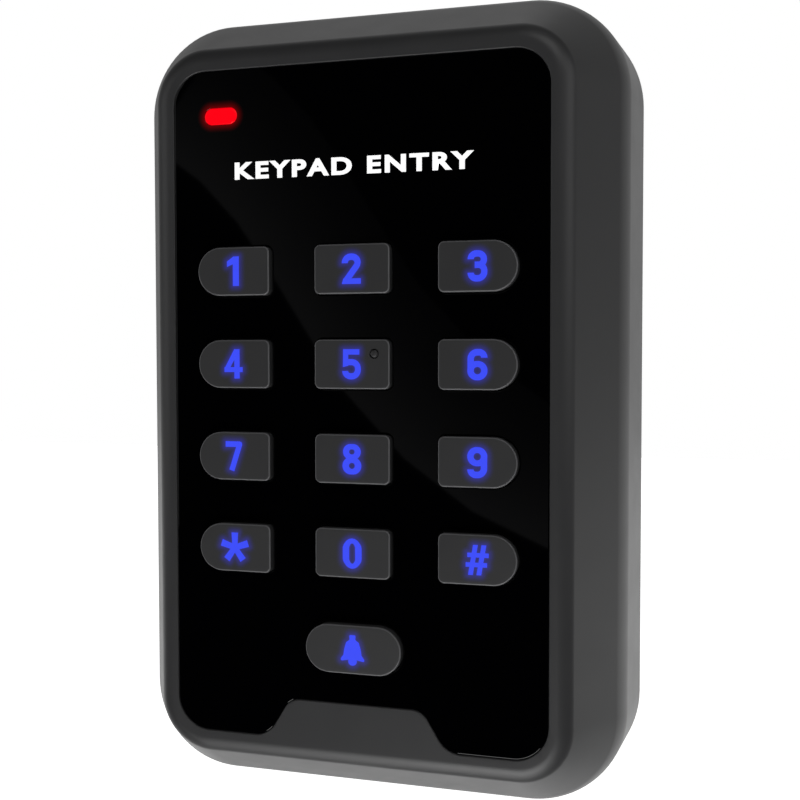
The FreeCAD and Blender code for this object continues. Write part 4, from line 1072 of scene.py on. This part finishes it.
@dataclass
class GlossPanel:
    """The acrylic front panel and the words printed on it."""

    edge: float = 0.12 * MM
    key_gap: float = 0.2 * MM
    lamp_gap: float = 0.05 * MM
    lamp_edge: float = 0.04 * MM
    print_height: float = 2.6 * MM
    print_z: float = 34.1 * MM
    print_left: float = -19.1 * MM
    print_right: float = 18.2 * MM
    ink_thick: float = 0.02 * MM
    words: str = "KEYPAD ENTRY"

    def __post_init__(self) -> None:
        """Reads the panel's faces from its CAD node, and mixes its finish."""
        low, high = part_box("front_panel")
        self.front, self.back = low.y, high.y
        self.outline = Recess(-low.x, -low.z, corner=5.1 * MM).outline()
        self.finish = PanelFinish(
            "panel_acrylic_black",
            "#020203",
            0.03,
            ior=1.49,
            grain_depth=0.0,
            mottle=20.0 * MM,
            mottle_roughness=0.006,
            lamp_x=LAMP.x,
            lamp_z=LAMP.z,
            lamp_run=(LAMP.width - LAMP.height) / 2.0,
            lamp_radius=LAMP.height / 2.0,
        )

    def build(self) -> list[bpy.types.Object]:
        """Builds the panel and its print.

        Returns:
            The pieces.
        """
        bm = bmesh.new()
        rings = loft(bm, self.outline, [(0.0, self.back), *quarter_round(self.edge, self.front, -1.0)])
        fronts, backs = [rings[-1]], [rings[0]]
        holes = [key.outline().grown(self.key_gap) for key in KEY_SHAPES]
        holes.append(LAMP.outline().grown(self.lamp_gap))
        for hole in holes:
            edge = self.edge if hole is not holes[-1] else self.lamp_edge
            rings = loft(bm, hole, [(0.0, self.back), *quarter_round(edge, self.front, 1.0)])
            fronts.append(rings[-1])
            backs.append(rings[0])
        cap(bm, *fronts)
        cap(bm, *backs)
        nodes = ["front_panel"]
        panel = make_piece(
            "gloss_panel", bm, self.finish, CASE_BODY, nodes, Shading.CRISP
        )
        return [panel, self.build_print()]

    def build_print(self) -> bpy.types.Object:
        """Builds the printed words as a thin raised layer of ink."""
        middle = (self.print_left + self.print_right) / 2.0
        bm = lettering(self.words, self.print_height, self.print_right - self.print_left)
        place = Matrix.Translation((middle, self.front, self.print_z))
        bmesh.ops.transform(bm, matrix=place, verts=bm.verts)
        thicken(bm, self.ink_thick)
        return make_piece("printed_words", bm, WHITE_INK, CASE_BODY, shading=Shading.CRISP)


def lettering(
    words: str, height: float, width: float, weight: float = 0.040, spacing: float = 1.2
) -> bmesh.types.BMesh:
    """Sets words in a bold face, centred across, standing on their base line.

    Args:
        words: The words.
        height: The height of a capital.
        width: The width of the whole line.
        weight: How far each outline is grown, as a share of the type size.
        spacing: The space that a letter takes, as a share of its usual one.

    Returns:
        The letters' flat faces, which face -Y.
    """
    curve = bpy.data.curves.new("lettering", "FONT")
    curve.body = words
    curve.size = 1.0
    curve.offset = weight
    curve.resolution_u = 6
    curve.space_character = spacing
    holder = bpy.data.objects.new("lettering", curve)
    bpy.context.scene.collection.objects.link(holder)
    bpy.context.view_layer.update()
    mesh = bpy.data.meshes.new_from_object(holder.evaluated_get(bpy.context.evaluated_depsgraph_get()))
    bm = bmesh.new()
    bm.from_mesh(mesh)
    bpy.data.meshes.remove(mesh)
    bpy.data.objects.remove(holder)
    bpy.data.curves.remove(curve)
    low = Vector(min(vert.co[axis] for vert in bm.verts) for axis in range(3))
    high = Vector(max(vert.co[axis] for vert in bm.verts) for axis in range(3))
    scale = (width / (high.x - low.x), height / (high.y - low.y), 1.0)
    centre = Matrix.Translation((-(low.x + high.x) / 2.0, -low.y, 0.0))
    upright = Matrix.Rotation(math.radians(90.0), 4, "X")
    bmesh.ops.transform(bm, matrix=upright @ Matrix.Diagonal((*scale, 1.0)) @ centre, verts=bm.verts)
    bmesh.ops.remove_doubles(bm, verts=bm.verts, dist=HAIR)
    return bm


def thicken(bm: bmesh.types.BMesh, thick: float) -> None:
    """Extrudes flat faces forwards into a closed slab."""
    faces = list(bm.faces)
    raised = bmesh.ops.extrude_face_region(bm, geom=faces, use_keep_orig=True)
    verts = [item for item in raised["geom"] if isinstance(item, bmesh.types.BMVert)]
    bmesh.ops.translate(bm, verts=verts, vec=FORWARD * thick)


@dataclass
class StatusWindow:
    """The lit window: an oblong stem with a soft edge, and a flange behind the case's floor."""

    flange: float = 0.8 * MM
    flange_thick: float = 0.9 * MM
    edge: float = 0.16 * MM

    def build(self) -> bpy.types.Object:
        """Builds the window.

        Returns:
            The piece.
        """
        low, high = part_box("status_lens")
        flange_front = high.y - self.flange_thick
        profile = [(self.flange, high.y), (self.flange, flange_front), (0.0, flange_front)]
        profile += quarter_round(self.edge, low.y, -1.0)
        bm = bmesh.new()
        rings = loft(bm, LAMP.outline(), profile)
        cap(bm, rings[0])
        cap(bm, rings[-1])
        return make_piece("status_window", bm, LENS_PLASTIC, CASE_BODY, ["status_lens"])


# ---------------------------------------------------------------- legends


@dataclass(frozen=True)
class Stroke:
    """A pen stroke of even width. Its corners are x, z and radius, in millimetres."""

    path: tuple[tuple[float, float, float], ...]
    width: float = 0.95

    def solid(self, back: float, front: float) -> bmesh.types.BMesh:
        """The stroke as a slab between two depths, with square ends."""
        points = [Vector((x, z)) for x, z, _ in self.path]
        radii = [radius for _, _, radius in self.path]
        sides: dict[float, list[Corner]] = {}
        for side in (1.0, -1.0):
            corners = []
            for index, point in enumerate(points):
                ahead = points[min(index + 1, len(points) - 1)] - points[min(index, len(points) - 2)]
                behind = points[max(index, 1)] - points[max(index - 1, 0)]
                ahead, behind = ahead.normalized(), behind.normalized()
                normals = [Vector((way.y, -way.x)) for way in (behind, ahead)]
                shift = (normals[0] + normals[1]) / (1.0 + normals[0].dot(normals[1]))
                place = point + shift * (side * self.width / 2.0)
                turn = 1.0 if behind.cross(ahead) > 0.0 else -1.0
                radius = max(radii[index] + turn * side * self.width / 2.0, 0.04) if radii[index] else 0.0
                corners.append(Corner(place.x * MM, place.y * MM, radius * MM))
            sides[side] = corners
        outline = Outline(tuple(sides[1.0] + sides[-1.0][::-1]), 8)
        return slab(outline, back, front)


@dataclass(frozen=True)
class Patch:
    """A plain shape with slightly soft corners, in millimetres, anticlockwise."""

    corners: tuple[tuple[float, float], ...]
    radius: float = 0.06

    def solid(self, back: float, front: float) -> bmesh.types.BMesh:
        """The shape as a slab between two depths."""
        soft = self.radius * MM
        outline = Outline(tuple(Corner(x * MM, z * MM, soft) for x, z in self.corners), 4)
        return slab(outline, back, front)


@dataclass(frozen=True)
class Ring:
    """A round-cornered ring, such as a digit's bowl, in millimetres."""

    centre: tuple[float, float]
    outer: tuple[float, float]
    inner: tuple[float, float]

    def solid(self, back: float, front: float) -> bmesh.types.BMesh:
        """The ring as a slab between two depths."""
        bm = bmesh.new()
        x, z = (value * MM for value in self.centre)
        ends: tuple[list, list] = ([], [])
        for width, height in (self.outer, self.inner):
            outline = rounded_box(width * MM, height * MM, 1.0, 1.0, 14).moved(x, z)
            for rings, ring in zip(ends, loft(bm, outline, [(0.0, back), (0.0, front)])):
                rings.append(ring)
        for rings in ends:
            cap(bm, *rings)
        return bm


@dataclass(frozen=True)
class Band:
    """An oval band between two outlines that are the same above and below, in millimetres."""

    outer: tuple[tuple[float, float], ...]
    inner: tuple[tuple[float, float], ...]
    radii: tuple[float, float]

    def solid(self, back: float, front: float) -> bmesh.types.BMesh:
        """The band as a slab between two depths."""
        bm = bmesh.new()
        ends: tuple[list, list] = ([], [])
        for lower, radius in zip((self.outer, self.inner), self.radii):
            corners = [*lower, *((x, -z) for x, z in reversed(lower))]
            outline = Outline(tuple(Corner(x * MM, z * MM, radius * MM) for x, z in corners), 8)
            for rings, ring in zip(ends, loft(bm, outline, [(0.0, back), (0.0, front)])):
                rings.append(ring)
        for rings in ends:
            cap(bm, *rings)
        return bm


def star_arms(
    arms: int = 5, length: float = 2.3, tip: float = 1.08, root: float = 0.84
) -> tuple[Patch, ...]:
    """The arms of an asterisk, which widen towards their tips."""
    overlap = 0.25
    made = []
    for arm in range(arms):
        angle = math.radians(90.0) + math.tau * arm / arms
        along = Vector((math.cos(angle), math.sin(angle)))
        across = Vector((-math.sin(angle), math.cos(angle)))
        ends = [(-across * root / 2 - along * overlap), along * length - across * tip / 2]
        ends += [along * length + across * tip / 2, across * root / 2 - along * overlap]
        made.append(Patch(tuple((end.x, end.y) for end in ends)))
    return tuple(made)


def hash_bars() -> tuple[Patch, ...]:
    """The two slanting and the two level bars of a hash sign."""
    slant, spread, rise = 0.17, 0.62, 0.70
    tall, tall_half = 2.18, 0.36
    reach, level_half = 1.58, 0.33
    made = []
    for x in (-spread, spread):
        foot, top = x - slant * tall, x + slant * tall
        corners = ((foot - tall_half, -tall), (foot + tall_half, -tall))
        made.append(Patch((*corners, (top + tall_half, tall), (top - tall_half, tall))))
    for z in (-rise, rise):
        low, high = z - level_half, z + level_half
        left, right = slant * z - reach, slant * z + reach
        made.append(Patch(((left, low), (right, low), (right, high), (left, high))))
    return tuple(made)


def mirrored(half: Sequence[tuple[float, float]]) -> tuple[tuple[float, float], ...]:
    """Joins the right half of an outline, from the bottom up, to its mirror image."""
    return (*half, *((-x, z) for x, z in reversed(half)))


BELL = (
    Patch(
        mirrored(
            (
                (0.60, -1.50),
                (1.88, -1.72),
                (1.84, -1.32),
                (1.44, -0.80),
                (1.30, 0.10),
                (1.00, 1.12),
                (0.46, 1.50),
                (0.50, 2.22),
            )
        ),
        0.2,
    ),
    Ring((0.0, -1.72), (1.36, 1.26), (0.05, 0.05)),
)

ZERO = (
    Band(
        ((-1.48, -1.15), (-0.62, -2.25), (0.62, -2.25), (1.48, -1.15)),
        ((-0.46, -0.95), (-0.20, -1.50), (0.20, -1.50), (0.46, -0.95)),
        (1.2, 0.31),
    ),
)

# Each legend's strokes, about the middle of its key. A digit is 4.5 mm tall.
LEGENDS: dict[str, tuple] = {
    "1": (
        Patch(
            (
                (-0.02, -2.2),
                (0.98, -2.2),
                (0.98, 2.25),
                (0.10, 2.25),
                (-0.98, 1.50),
                (-0.98, 0.68),
                (-0.02, 1.08),
            )
        ),
    ),
    "2": (
        Stroke(
            (
                (-1.02, 0.82, 0.0),
                (-1.02, 1.76, 0.92),
                (0.98, 1.76, 0.92),
                (0.98, 0.62, 0.9),
                (-0.92, -1.85, 0.0),
            )
        ),
        Patch(((-1.50, -2.22), (1.48, -2.22), (1.48, -1.40), (-1.25, -1.40))),
    ),
    "3": (
        Stroke(
            (
                (-1.0, 0.95, 0.0),
                (-1.0, 1.76, 0.8),
                (0.92, 1.76, 0.82),
                (0.92, 0.16, 0.72),
                (-0.42, 0.16, 0.0),
            ),
            0.92,
        ),
        Stroke(
            (
                (-1.0, -0.95, 0.0),
                (-1.0, -1.76, 0.8),
                (0.98, -1.76, 0.92),
                (0.98, 0.16, 0.86),
                (-0.42, 0.16, 0.0),
            ),
            0.92,
        ),
    ),
    "4": (
        Patch(((0.12, -2.2), (1.0, -2.2), (1.0, 2.25), (0.12, 2.25))),
        Patch(((-1.52, -1.22), (1.50, -1.22), (1.50, -0.46), (-1.52, -0.46))),
        Patch(((-1.52, -0.70), (-0.66, -0.70), (0.55, 1.35), (0.55, 2.25), (0.12, 2.25))),
    ),
    "5": (
        Patch(((-1.32, 1.42), (1.22, 1.42), (1.22, 2.22), (-1.32, 2.22))),
        Patch(((-1.36, -0.42), (-0.52, -0.22), (-0.50, 2.0), (-1.32, 2.0))),
        Stroke(
            (
                (-0.90, 0.32, 0.0),
                (0.98, 0.32, 0.95),
                (0.98, -1.77, 0.97),
                (-1.0, -1.77, 0.9),
                (-1.0, -0.98, 0.0),
            ),
            0.92,
        ),
    ),
    "6": (
        Stroke(((1.0, 0.98, 0.0), (1.0, 1.76, 0.76), (-0.98, 1.76, 0.95), (-0.98, -0.9, 0.0))),
        Ring((0.0, -0.86), (2.96, 2.76), (1.06, 1.04)),
    ),
    "7": (Stroke(((-1.42, 1.82, 0.0), (0.92, 1.82, 0.05), (-0.42, -2.2, 0.0)), 0.86),),
    "8": (Ring((0.0, 1.09), (2.78, 2.32), (0.84, 0.74)), Ring((0.0, -0.98), (2.96, 2.54), (0.90, 0.88))),
    "9": (
        Stroke(((-1.0, -0.98, 0.0), (-1.0, -1.76, 0.76), (0.98, -1.76, 0.95), (0.98, 0.9, 0.0))),
        Ring((0.0, 0.86), (2.96, 2.76), (1.06, 1.04)),
    ),
    "0": ZERO,
    "star": star_arms(),
    "hash": hash_bars(),
    "bell": BELL,
}


# The 5 key's pip, up and to the right of its legend. Each section is a radius and a distance in
# front of the key's face, in millimetres.
PIP_OFFSET = (3.5 * MM, 1.55 * MM)
PIP_SIDES = 32
PIP_GROOVE = ((0.0, 0.1), (0.76, 0.1), (0.70, -0.22), (0.0, -0.22))
PIP_DOME = (
    (0.0, -0.5),
    (0.55, -0.5),
    (0.55, 0.04),
    (0.5, 0.13),
    (0.38, 0.2),
    (0.2, 0.235),
    (0.0, 0.245),
)


@dataclass
class Key:
    """One key: its moulded cap, its lit legend and its dome in the mat."""

    shape: KeyShape
    face: float
    back: float
    edge: float = 0.22 * MM
    flange_thick: float = 1.0 * MM
    legend_rise: float = 0.012 * MM
    legend_sink: float = 0.04 * MM
    bleed: float = 1.15 * MM
    grid: float = 0.32 * MM

    def build(self) -> list[bpy.types.Object]:
        """Builds the key's cap and its legend.

        Returns:
            The pieces, which move with the key's body.
        """
        legend = self.legend_mesh()
        cap_mesh = self.cap_mesh()
        layer = cap_mesh.verts.layers.float.new(KEY_PLASTIC.attribute)
        painted_edge_highlight = cap_mesh.verts.layers.float.new(KEY_PLASTIC.painted_edge_highlight_attribute)
        tree = BVHTree.FromBMesh(legend)
        for vert in cap_mesh.verts:
            if vert.co.y < self.face + HAIR:
                _, _, _, distance = tree.find_nearest(vert.co)
                vert[layer] = max(0.0, 1.0 - distance / self.bleed) ** 2
            # The edge's round next to the face gets the painted highlight: a paler line.
            elif vert.co.y < self.face + 0.7 * self.edge:
                vert[painted_edge_highlight] = 1.0
        name, body = self.shape.name, f"key_{self.shape.name}"
        nodes = [f"keycap_{name}"]
        return [
            make_piece(f"key_face_{name}", cap_mesh, KEY_PLASTIC, body, nodes),
            make_piece(f"legend_{name}", legend, LIT_LEGEND, body, shading=Shading.CRISP),
        ]

    def legend_mesh(self) -> bmesh.types.BMesh:
        """The legend's strokes joined into one slab, set into the key's face."""
        back, front = self.face + self.legend_sink, self.face - self.legend_rise
        solids = [stroke.solid(back, front) for stroke in LEGENDS[self.shape.name]]
        joined = solids[0]
        for solid in solids[1:]:
            joined = carve(joined, solid, "UNION")
        place = Matrix.Translation((self.shape.x, 0.0, self.shape.z))
        bmesh.ops.transform(joined, matrix=place, verts=joined.verts)
        return joined

    def cap_mesh(self) -> bmesh.types.BMesh:
        """The cap: a flange, a stem with a soft front edge, and a finely divided face."""
        front = self.back - self.flange_thick
        profile = [(FLANGE, self.back), (FLANGE, front), (0.0, front)]
        profile += quarter_round(self.edge, self.face, -1.0, 5)
        bm = bmesh.new()
        rings = loft(bm, self.shape.outline(), profile)
        cap(bm, rings[0])
        bmesh.ops.edgeloop_fill(bm, edges=rings[-1])
        self.divide_face(bm)
        return self.add_pip(bm) if self.shape.name == "5" else bm

    def divide_face(self, bm: bmesh.types.BMesh) -> None:
        """Cuts the face into small squares, so that its halo has points to follow."""
        half = Vector((self.shape.width / 2.0, 0.0, self.shape.height / 2.0))
        middle = Vector((self.shape.x, self.face, self.shape.z))
        for direction, reach in ((Vector((1.0, 0.0, 0.0)), half.x), (Vector((0.0, 0.0, 1.0)), half.z)):
            count = int(reach / self.grid)
            for step in range(-count, count + 1):
                faces = [f for f in bm.faces if all(abs(v.co.y - self.face) < HAIR for v in f.verts)]
                edges = {edge for face in faces for edge in face.edges}
                verts = {vert for face in faces for vert in face.verts}
                bmesh.ops.bisect_plane(
                    bm,
                    geom=[*faces, *edges, *verts],
                    dist=HAIR,
                    plane_co=middle + direction * (self.grid * step),
                    plane_no=direction,
                )

    def add_pip(self, bm: bmesh.types.BMesh) -> bmesh.types.BMesh:
        """Cuts a narrow ring into the face, and raises the pip a finger finds the middle key by.

        Args:
            bm: The cap's mesh.

        Returns:
            The mesh with its pip.
        """
        centre = Vector((self.shape.x + PIP_OFFSET[0], self.face, self.shape.z + PIP_OFFSET[1]))
        groove = [(radius * MM, along * MM) for radius, along in PIP_GROOVE]
        dome = [(radius * MM, along * MM) for radius, along in PIP_DOME]
        bm = carve(bm, turned(groove, centre, FORWARD, PIP_SIDES))
        return carve(bm, turned(dome, centre, FORWARD, PIP_SIDES), "UNION")


@dataclass
class KeypadMat:
    """The silicone mat: a flat web, and under each key a dome that collapses as it is pressed."""

    web_thick: float = 1.0 * MM
    web_round: float = 3.0 * MM
    foot_radius: float = 5.0 * MM
    light_size: tuple[float, float] = (2.7 * MM, 1.95 * MM)
    light_rise: float = 7.0 * MM
    peg_radius: float = 0.9 * MM
    peg_x: float = 9.5 * MM
    peg_rows: int = 3
    row_pitch: float = 14.0 * MM
    travel: float = 0.8 * MM
    boss_radius: float = 2.8 * MM
    hollow_radius: float = 2.4 * MM
    skirt_radius: float = 4.2 * MM
    pill_seat: float = 1.22 * MM
    hollow_top: float = 0.9 * MM
    skirt_drop: float = 0.1 * MM
    wall_top: float = 1.2 * MM
    boss_foot: float = 1.5 * MM
    boss_edge: float = 0.2 * MM
    dome_sides: int = 40

    def __post_init__(self) -> None:
        """Reads the mat's box and the board it lies on."""
        self.low, self.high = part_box("keypad_mat")
        self.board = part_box("main_board")[0].y
        self.height = self.board - self.low.y

    def build(self) -> list[bpy.types.Object]:
        """Builds the web and the domes.

        Returns:
            The pieces.
        """
        pieces = [self.build_web()]
        pieces.extend(self.build_dome(shape) for shape in KEY_SHAPES)
        return pieces

    def build_web(self) -> bpy.types.Object:
        """Builds the web, with a hole for each dome and light, and pegs into the board."""
        size = (self.high.x - self.low.x, self.high.z - self.low.z)
        middle = (self.high.z + self.low.z) / 2.0
        depths = [(0.0, self.board), (0.0, self.board - self.web_thick)]
        bm = bmesh.new()
        outlines = [rounded_box(*size, self.web_round, self.web_round, 8).moved(0.0, middle)]
        for shape in KEY_SHAPES:
            foot = 2.0 * self.foot_radius
            outlines.append(rounded_box(foot, foot, 1.0, 1.0, 10).moved(shape.x, shape.z))
            light = rounded_box(*self.light_size, 0.35 * MM, 0.35 * MM, 4)
            outlines.append(light.moved(shape.x, shape.z + self.light_rise))
        backs, fronts = [], []
        for outline in outlines:
            back, front = loft(bm, outline, depths)
            backs.append(back)
            fronts.append(front)
        cap(bm, *fronts)
        top = max(shape.z for shape in KEY_SHAPES) - self.row_pitch / 2.0
        for x in (-self.peg_x, self.peg_x):
            for row in range(self.peg_rows):
                peg = rounded_box(2 * self.peg_radius, 2 * self.peg_radius, 1.0, 1.0, 6)
                peg = peg.moved(x, top - row * self.row_pitch)
                root, tip = loft(bm, peg, [(0.0, self.board), (0.0, self.high.y)])
                cap(bm, tip)
                backs.append(root)
        cap(bm, *backs)
        return make_piece("mat_web", bm, SILICONE, CASE_BODY, ["keypad_mat"])

    def build_dome(self, shape: KeyShape) -> bpy.types.Object:
        """Builds a key's dome, in its shape at rest."""
        height, web = self.height, self.web_thick
        boss, edge = self.boss_radius, self.boss_edge
        profile = [
            (0.0, self.pill_seat),
            (self.hollow_radius, self.pill_seat),
            (self.hollow_radius, web + self.hollow_top),
            (self.skirt_radius, web - self.skirt_drop),
            (self.skirt_radius, 0.0),
            (self.foot_radius, 0.0),
            (self.foot_radius, web),
            (boss + edge, web + self.wall_top),
            (boss, web + self.boss_foot),
            (boss, height - edge),
            (boss - edge, height),
            (0.0, height),
        ]
        bm = turned(profile, Vector((shape.x, self.board, shape.z)), FORWARD, self.dome_sides)
        piece = make_piece(f"mat_dome_{shape.name}", bm, SILICONE, CASE_BODY, ["keypad_mat"])
        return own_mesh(piece)


# ---------------------------------------------------------------- studio


@dataclass(frozen=True)
class SoftLight:
    """A square soft box that faces the middle of the reader."""

    name: str
    place: tuple[float, float, float]
    size: float
    radiance: float
    target: tuple[float, float, float] = (0.0, -0.02, 0.0)

    def build(self) -> bpy.types.Object:
        """Makes the light, with the power that gives its face the radiance."""
        light = bpy.data.lights.new(self.name, "AREA")
        light.shape = "SQUARE"
        light.size = self.size
        light.energy = self.radiance * math.pi * self.size**2
        holder = bpy.data.objects.new(self.name, light)
        holder.location = self.place
        way = Vector(self.place) - Vector(self.target)
        holder.rotation_euler = way.to_track_quat("Z", "Y").to_euler()
        holder.visible_camera = False
        bpy.context.scene.collection.objects.link(holder)
        return holder


@dataclass(frozen=True)
class FadeFinish(Finish):
    """A grey card that glows as far as an attribute says."""

    glow_strength: float = 0.075
    falloff: float = 1.6
    attribute: str = "fade"

    def dress(
        self, tree: bpy.types.NodeTree, shader: bpy.types.Node, place: bpy.types.NodeSocket
    ) -> None:
        """Adds the glow, which dies away softly."""
        super().dress(tree, shader, place)
        fade = add_node(tree, "ShaderNodeAttribute", attribute_name=self.attribute)
        softened = {0: fade.outputs["Fac"], 1: self.falloff}
        soft = add_node(tree, "ShaderNodeMath", softened, operation="POWER")
        level = add_node(
            tree, "ShaderNodeMath", {0: soft.outputs[0], 1: self.glow_strength}, operation="MULTIPLY"
        )
        shader.inputs["Emission Color"].default_value = linear("#ffffff")
        tree.links.new(level.outputs[0], shader.inputs["Emission Strength"])


@dataclass
class SheenCard:
    """A card before the reader, whose curved edge and soft fade show as the panel's faint sheen.

    The card's shape is given where its reflection falls on the panel, and cast from there out to
    where the card stands, through the camera's mirror image. It is drawn for that one camera: from
    other places the sheen has another shape, or doesn't show.
    """

    edge: tuple[tuple[float, float], ...] = (
        (-34.0, 39.5),
        (-29.2, 37.2),
        (-25.0, 34.2),
        (-18.7, 27.6),
        (-12.8, 19.1),
        (-7.3, 10.6),
        (-1.8, 2.4),
        (7.7, -7.6),
        (18.0, -15.0),
        (34.0, -22.0),
    )
    fade_x: float = 12.0
    fade_z: float = 15.0
    steps: int = 8
    distance: float = 0.6
    finish: FadeFinish = FadeFinish("card_grey_fabric", "#101010", 0.9)

    def build(self) -> bpy.types.Object:
        """Builds the card and sets it out of the camera's sight."""
        panel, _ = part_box("front_panel")
        eye = Vector(CAMERA_PLACE)
        eye.y = 2.0 * panel.y - eye.y
        bm = bmesh.new()
        fade = bm.verts.layers.float.new(self.finish.attribute)
        row = [bm.verts.new((x * MM, panel.y, z * MM)) for x, z in self.edge]
        edges = [bm.edges.new(pair) for pair in zip(row, row[1:])]
        for vert in row:
            vert[fade] = 1.0
        step = Vector((self.fade_x, 0.0, self.fade_z)) * (MM / self.steps)
        for index in range(self.steps):
            made = bmesh.ops.extrude_edge_only(bm, edges=edges)["geom"]
            verts = [item for item in made if isinstance(item, bmesh.types.BMVert)]
            edges = [item for item in made if isinstance(item, bmesh.types.BMEdge)]
            fresh = set(verts)
            edges = [edge for edge in edges if set(edge.verts) <= fresh]
            bmesh.ops.translate(bm, verts=verts, vec=step)
            for vert in verts:
                vert[fade] = 1.0 - (index + 1) / self.steps
        reach = (-self.distance - eye.y) / (panel.y - eye.y)
        cast = Matrix.Translation(eye) @ Matrix.Scale(reach, 4) @ Matrix.Translation(-eye)
        bmesh.ops.transform(bm, matrix=cast, verts=bm.verts)
        mesh = bpy.data.meshes.new("sheen_card")
        bm.to_mesh(mesh)
        bm.free()
        mesh.materials.append(self.finish.material())
        card = bpy.data.objects.new("sheen_card", mesh)
        card.visible_camera = False
        card.visible_diffuse = False
        card.visible_shadow = False
        bpy.context.scene.collection.objects.link(card)
        return card


@dataclass
class Studio:
    """A white light table and surround, soft boxes at the sides, and a dark front."""

    table_y: tuple[float, float] = (0.03, 1.6)
    table_half_width: float = 1.4
    table_drop: float = 0.09
    table_glow: float = 1.02
    surround_glow: float = 0.72
    lens: float = 54.2
    sensor: float = 36.0
    aim: tuple[float, float, float] = (0.00717, -0.026, 0.00099)
    roll: float = math.radians(-0.08)
    lights: tuple[SoftLight, ...] = (
        SoftLight("left_soft_box", (-0.52, -0.30, 0.10), 0.42, 0.6),
        SoftLight("right_soft_box", (0.50, -0.30, 0.20), 0.36, 1.2),
        SoftLight("low_soft_box", (-0.06, -0.20, -0.42), 0.30, 2.0),
        SoftLight("front_soft_box", (0.0, -0.42, -0.47), 0.30, 4.7),
        SoftLight("high_soft_box", (0.20, -0.50, 0.52), 0.30, 2.4),
        SoftLight("top_soft_box", (-0.10, 0.25, 0.55), 0.40, 0.22),
    )

    def build(self) -> None:
        """Sets up the camera, the table, the surround and the lights."""
        self.build_camera()
        self.build_table()
        self.build_surround()
        for light in self.lights:
            light.build()
        SheenCard().build()
        bpy.context.scene.view_settings.view_transform = "Standard"

    def build_camera(self) -> None:
        """Places the camera a little to the right of the keypad, level with its middle."""
        camera = bpy.data.cameras.new("studio_camera")
        camera.lens = self.lens
        camera.sensor_width = self.sensor
        camera.clip_start = 0.005
        camera.clip_end = 20.0
        holder = bpy.data.objects.new("studio_camera", camera)
        holder.location = CAMERA_PLACE
        way = Vector(self.aim) - holder.location
        roll = Matrix.Rotation(self.roll, 4, "Z")
        turn = way.to_track_quat("-Z", "Y").to_matrix().to_4x4() @ roll
        holder.rotation_euler = turn.to_euler()
        bpy.context.scene.collection.objects.link(holder)
        bpy.context.scene.camera = holder

    def build_table(self) -> None:
        """Builds the pale table that glows evenly under and behind the reader."""
        low, _ = CAD_BOX
        bm = bmesh.new()
        bmesh.ops.create_grid(bm, x_segments=8, y_segments=8, size=1.0)
        near, far = self.table_y
        size = Matrix.Diagonal((self.table_half_width, (far - near) / 2.0, 1.0, 1.0))
        place = Matrix.Translation((0.0, (near + far) / 2.0, low.z - self.table_drop))
        bmesh.ops.transform(bm, matrix=place @ size, verts=bm.verts)
        mesh = bpy.data.meshes.new("light_table")
        bm.to_mesh(mesh)
        bm.free()
        finish = GlowFinish(
            "table_opal_acrylic", "#f4f4f2", 0.6, strength=self.table_glow, unevenness=0.0
        )
        mesh.materials.append(finish.material())
        table = bpy.data.objects.new("light_table", mesh)
        bpy.context.scene.collection.objects.link(table)

    def build_surround(self) -> None:
        """Builds the surround, which lights the reader from behind and is dark before it.

        The camera sees it as plain white all round, whichever way it looks.
        """
        world = bpy.data.worlds.new("studio_surround")
        bpy.context.scene.world = world
        world.use_nodes = True
        tree = world.node_tree
        tree.nodes.clear()
        way = add_node(tree, "ShaderNodeTexCoord").outputs["Generated"]
        parts = add_node(tree, "ShaderNodeSeparateXYZ", {0: way})
        lit = add_node(
            tree,
            "ShaderNodeMapRange",
            {
                "Value": parts.outputs["Y"],
                "From Min": 0.0,
                "From Max": 1.0,
                "To Min": 0.0,
                "To Max": self.surround_glow,
            },
        )
        seen = add_node(tree, "ShaderNodeLightPath").outputs["Is Camera Ray"]
        level = add_node(tree, "ShaderNodeMath", {0: lit.outputs[0], 1: seen}, operation="MAXIMUM")
        white = {"Color": (1.0, 1.0, 1.0, 1.0), "Strength": level.outputs[0]}
        background = add_node(tree, "ShaderNodeBackground", white)
        add_node(tree, "ShaderNodeOutputWorld", {"Surface": background.outputs[0]})


# ---------------------------------------------------------------- the whole reader


def build_keypad() -> list[bpy.types.Object]:
    """Builds every key and the mat under them.

    Returns:
        The pieces.
    """
    low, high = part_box("keycap_1")
    pieces = []
    for shape in KEY_SHAPES:
        pieces.extend(Key(shape, low.y, high.y).build())
    pieces.extend(KeypadMat().build())
    return pieces


def main() -> None:
    """Builds the studio, then the reader from its case inwards."""
    logging.basicConfig(level=logging.INFO, format="%(name)s: %(message)s")
    Studio().build()
    dress_carried_nodes()
    builders: tuple[Callable[[], object], ...] = (
        CaseShell().build,
        GlossPanel().build,
        StatusWindow().build,
        build_keypad,
    )
    for build in builders:
        build()


if __name__ == "__main__":
    main()
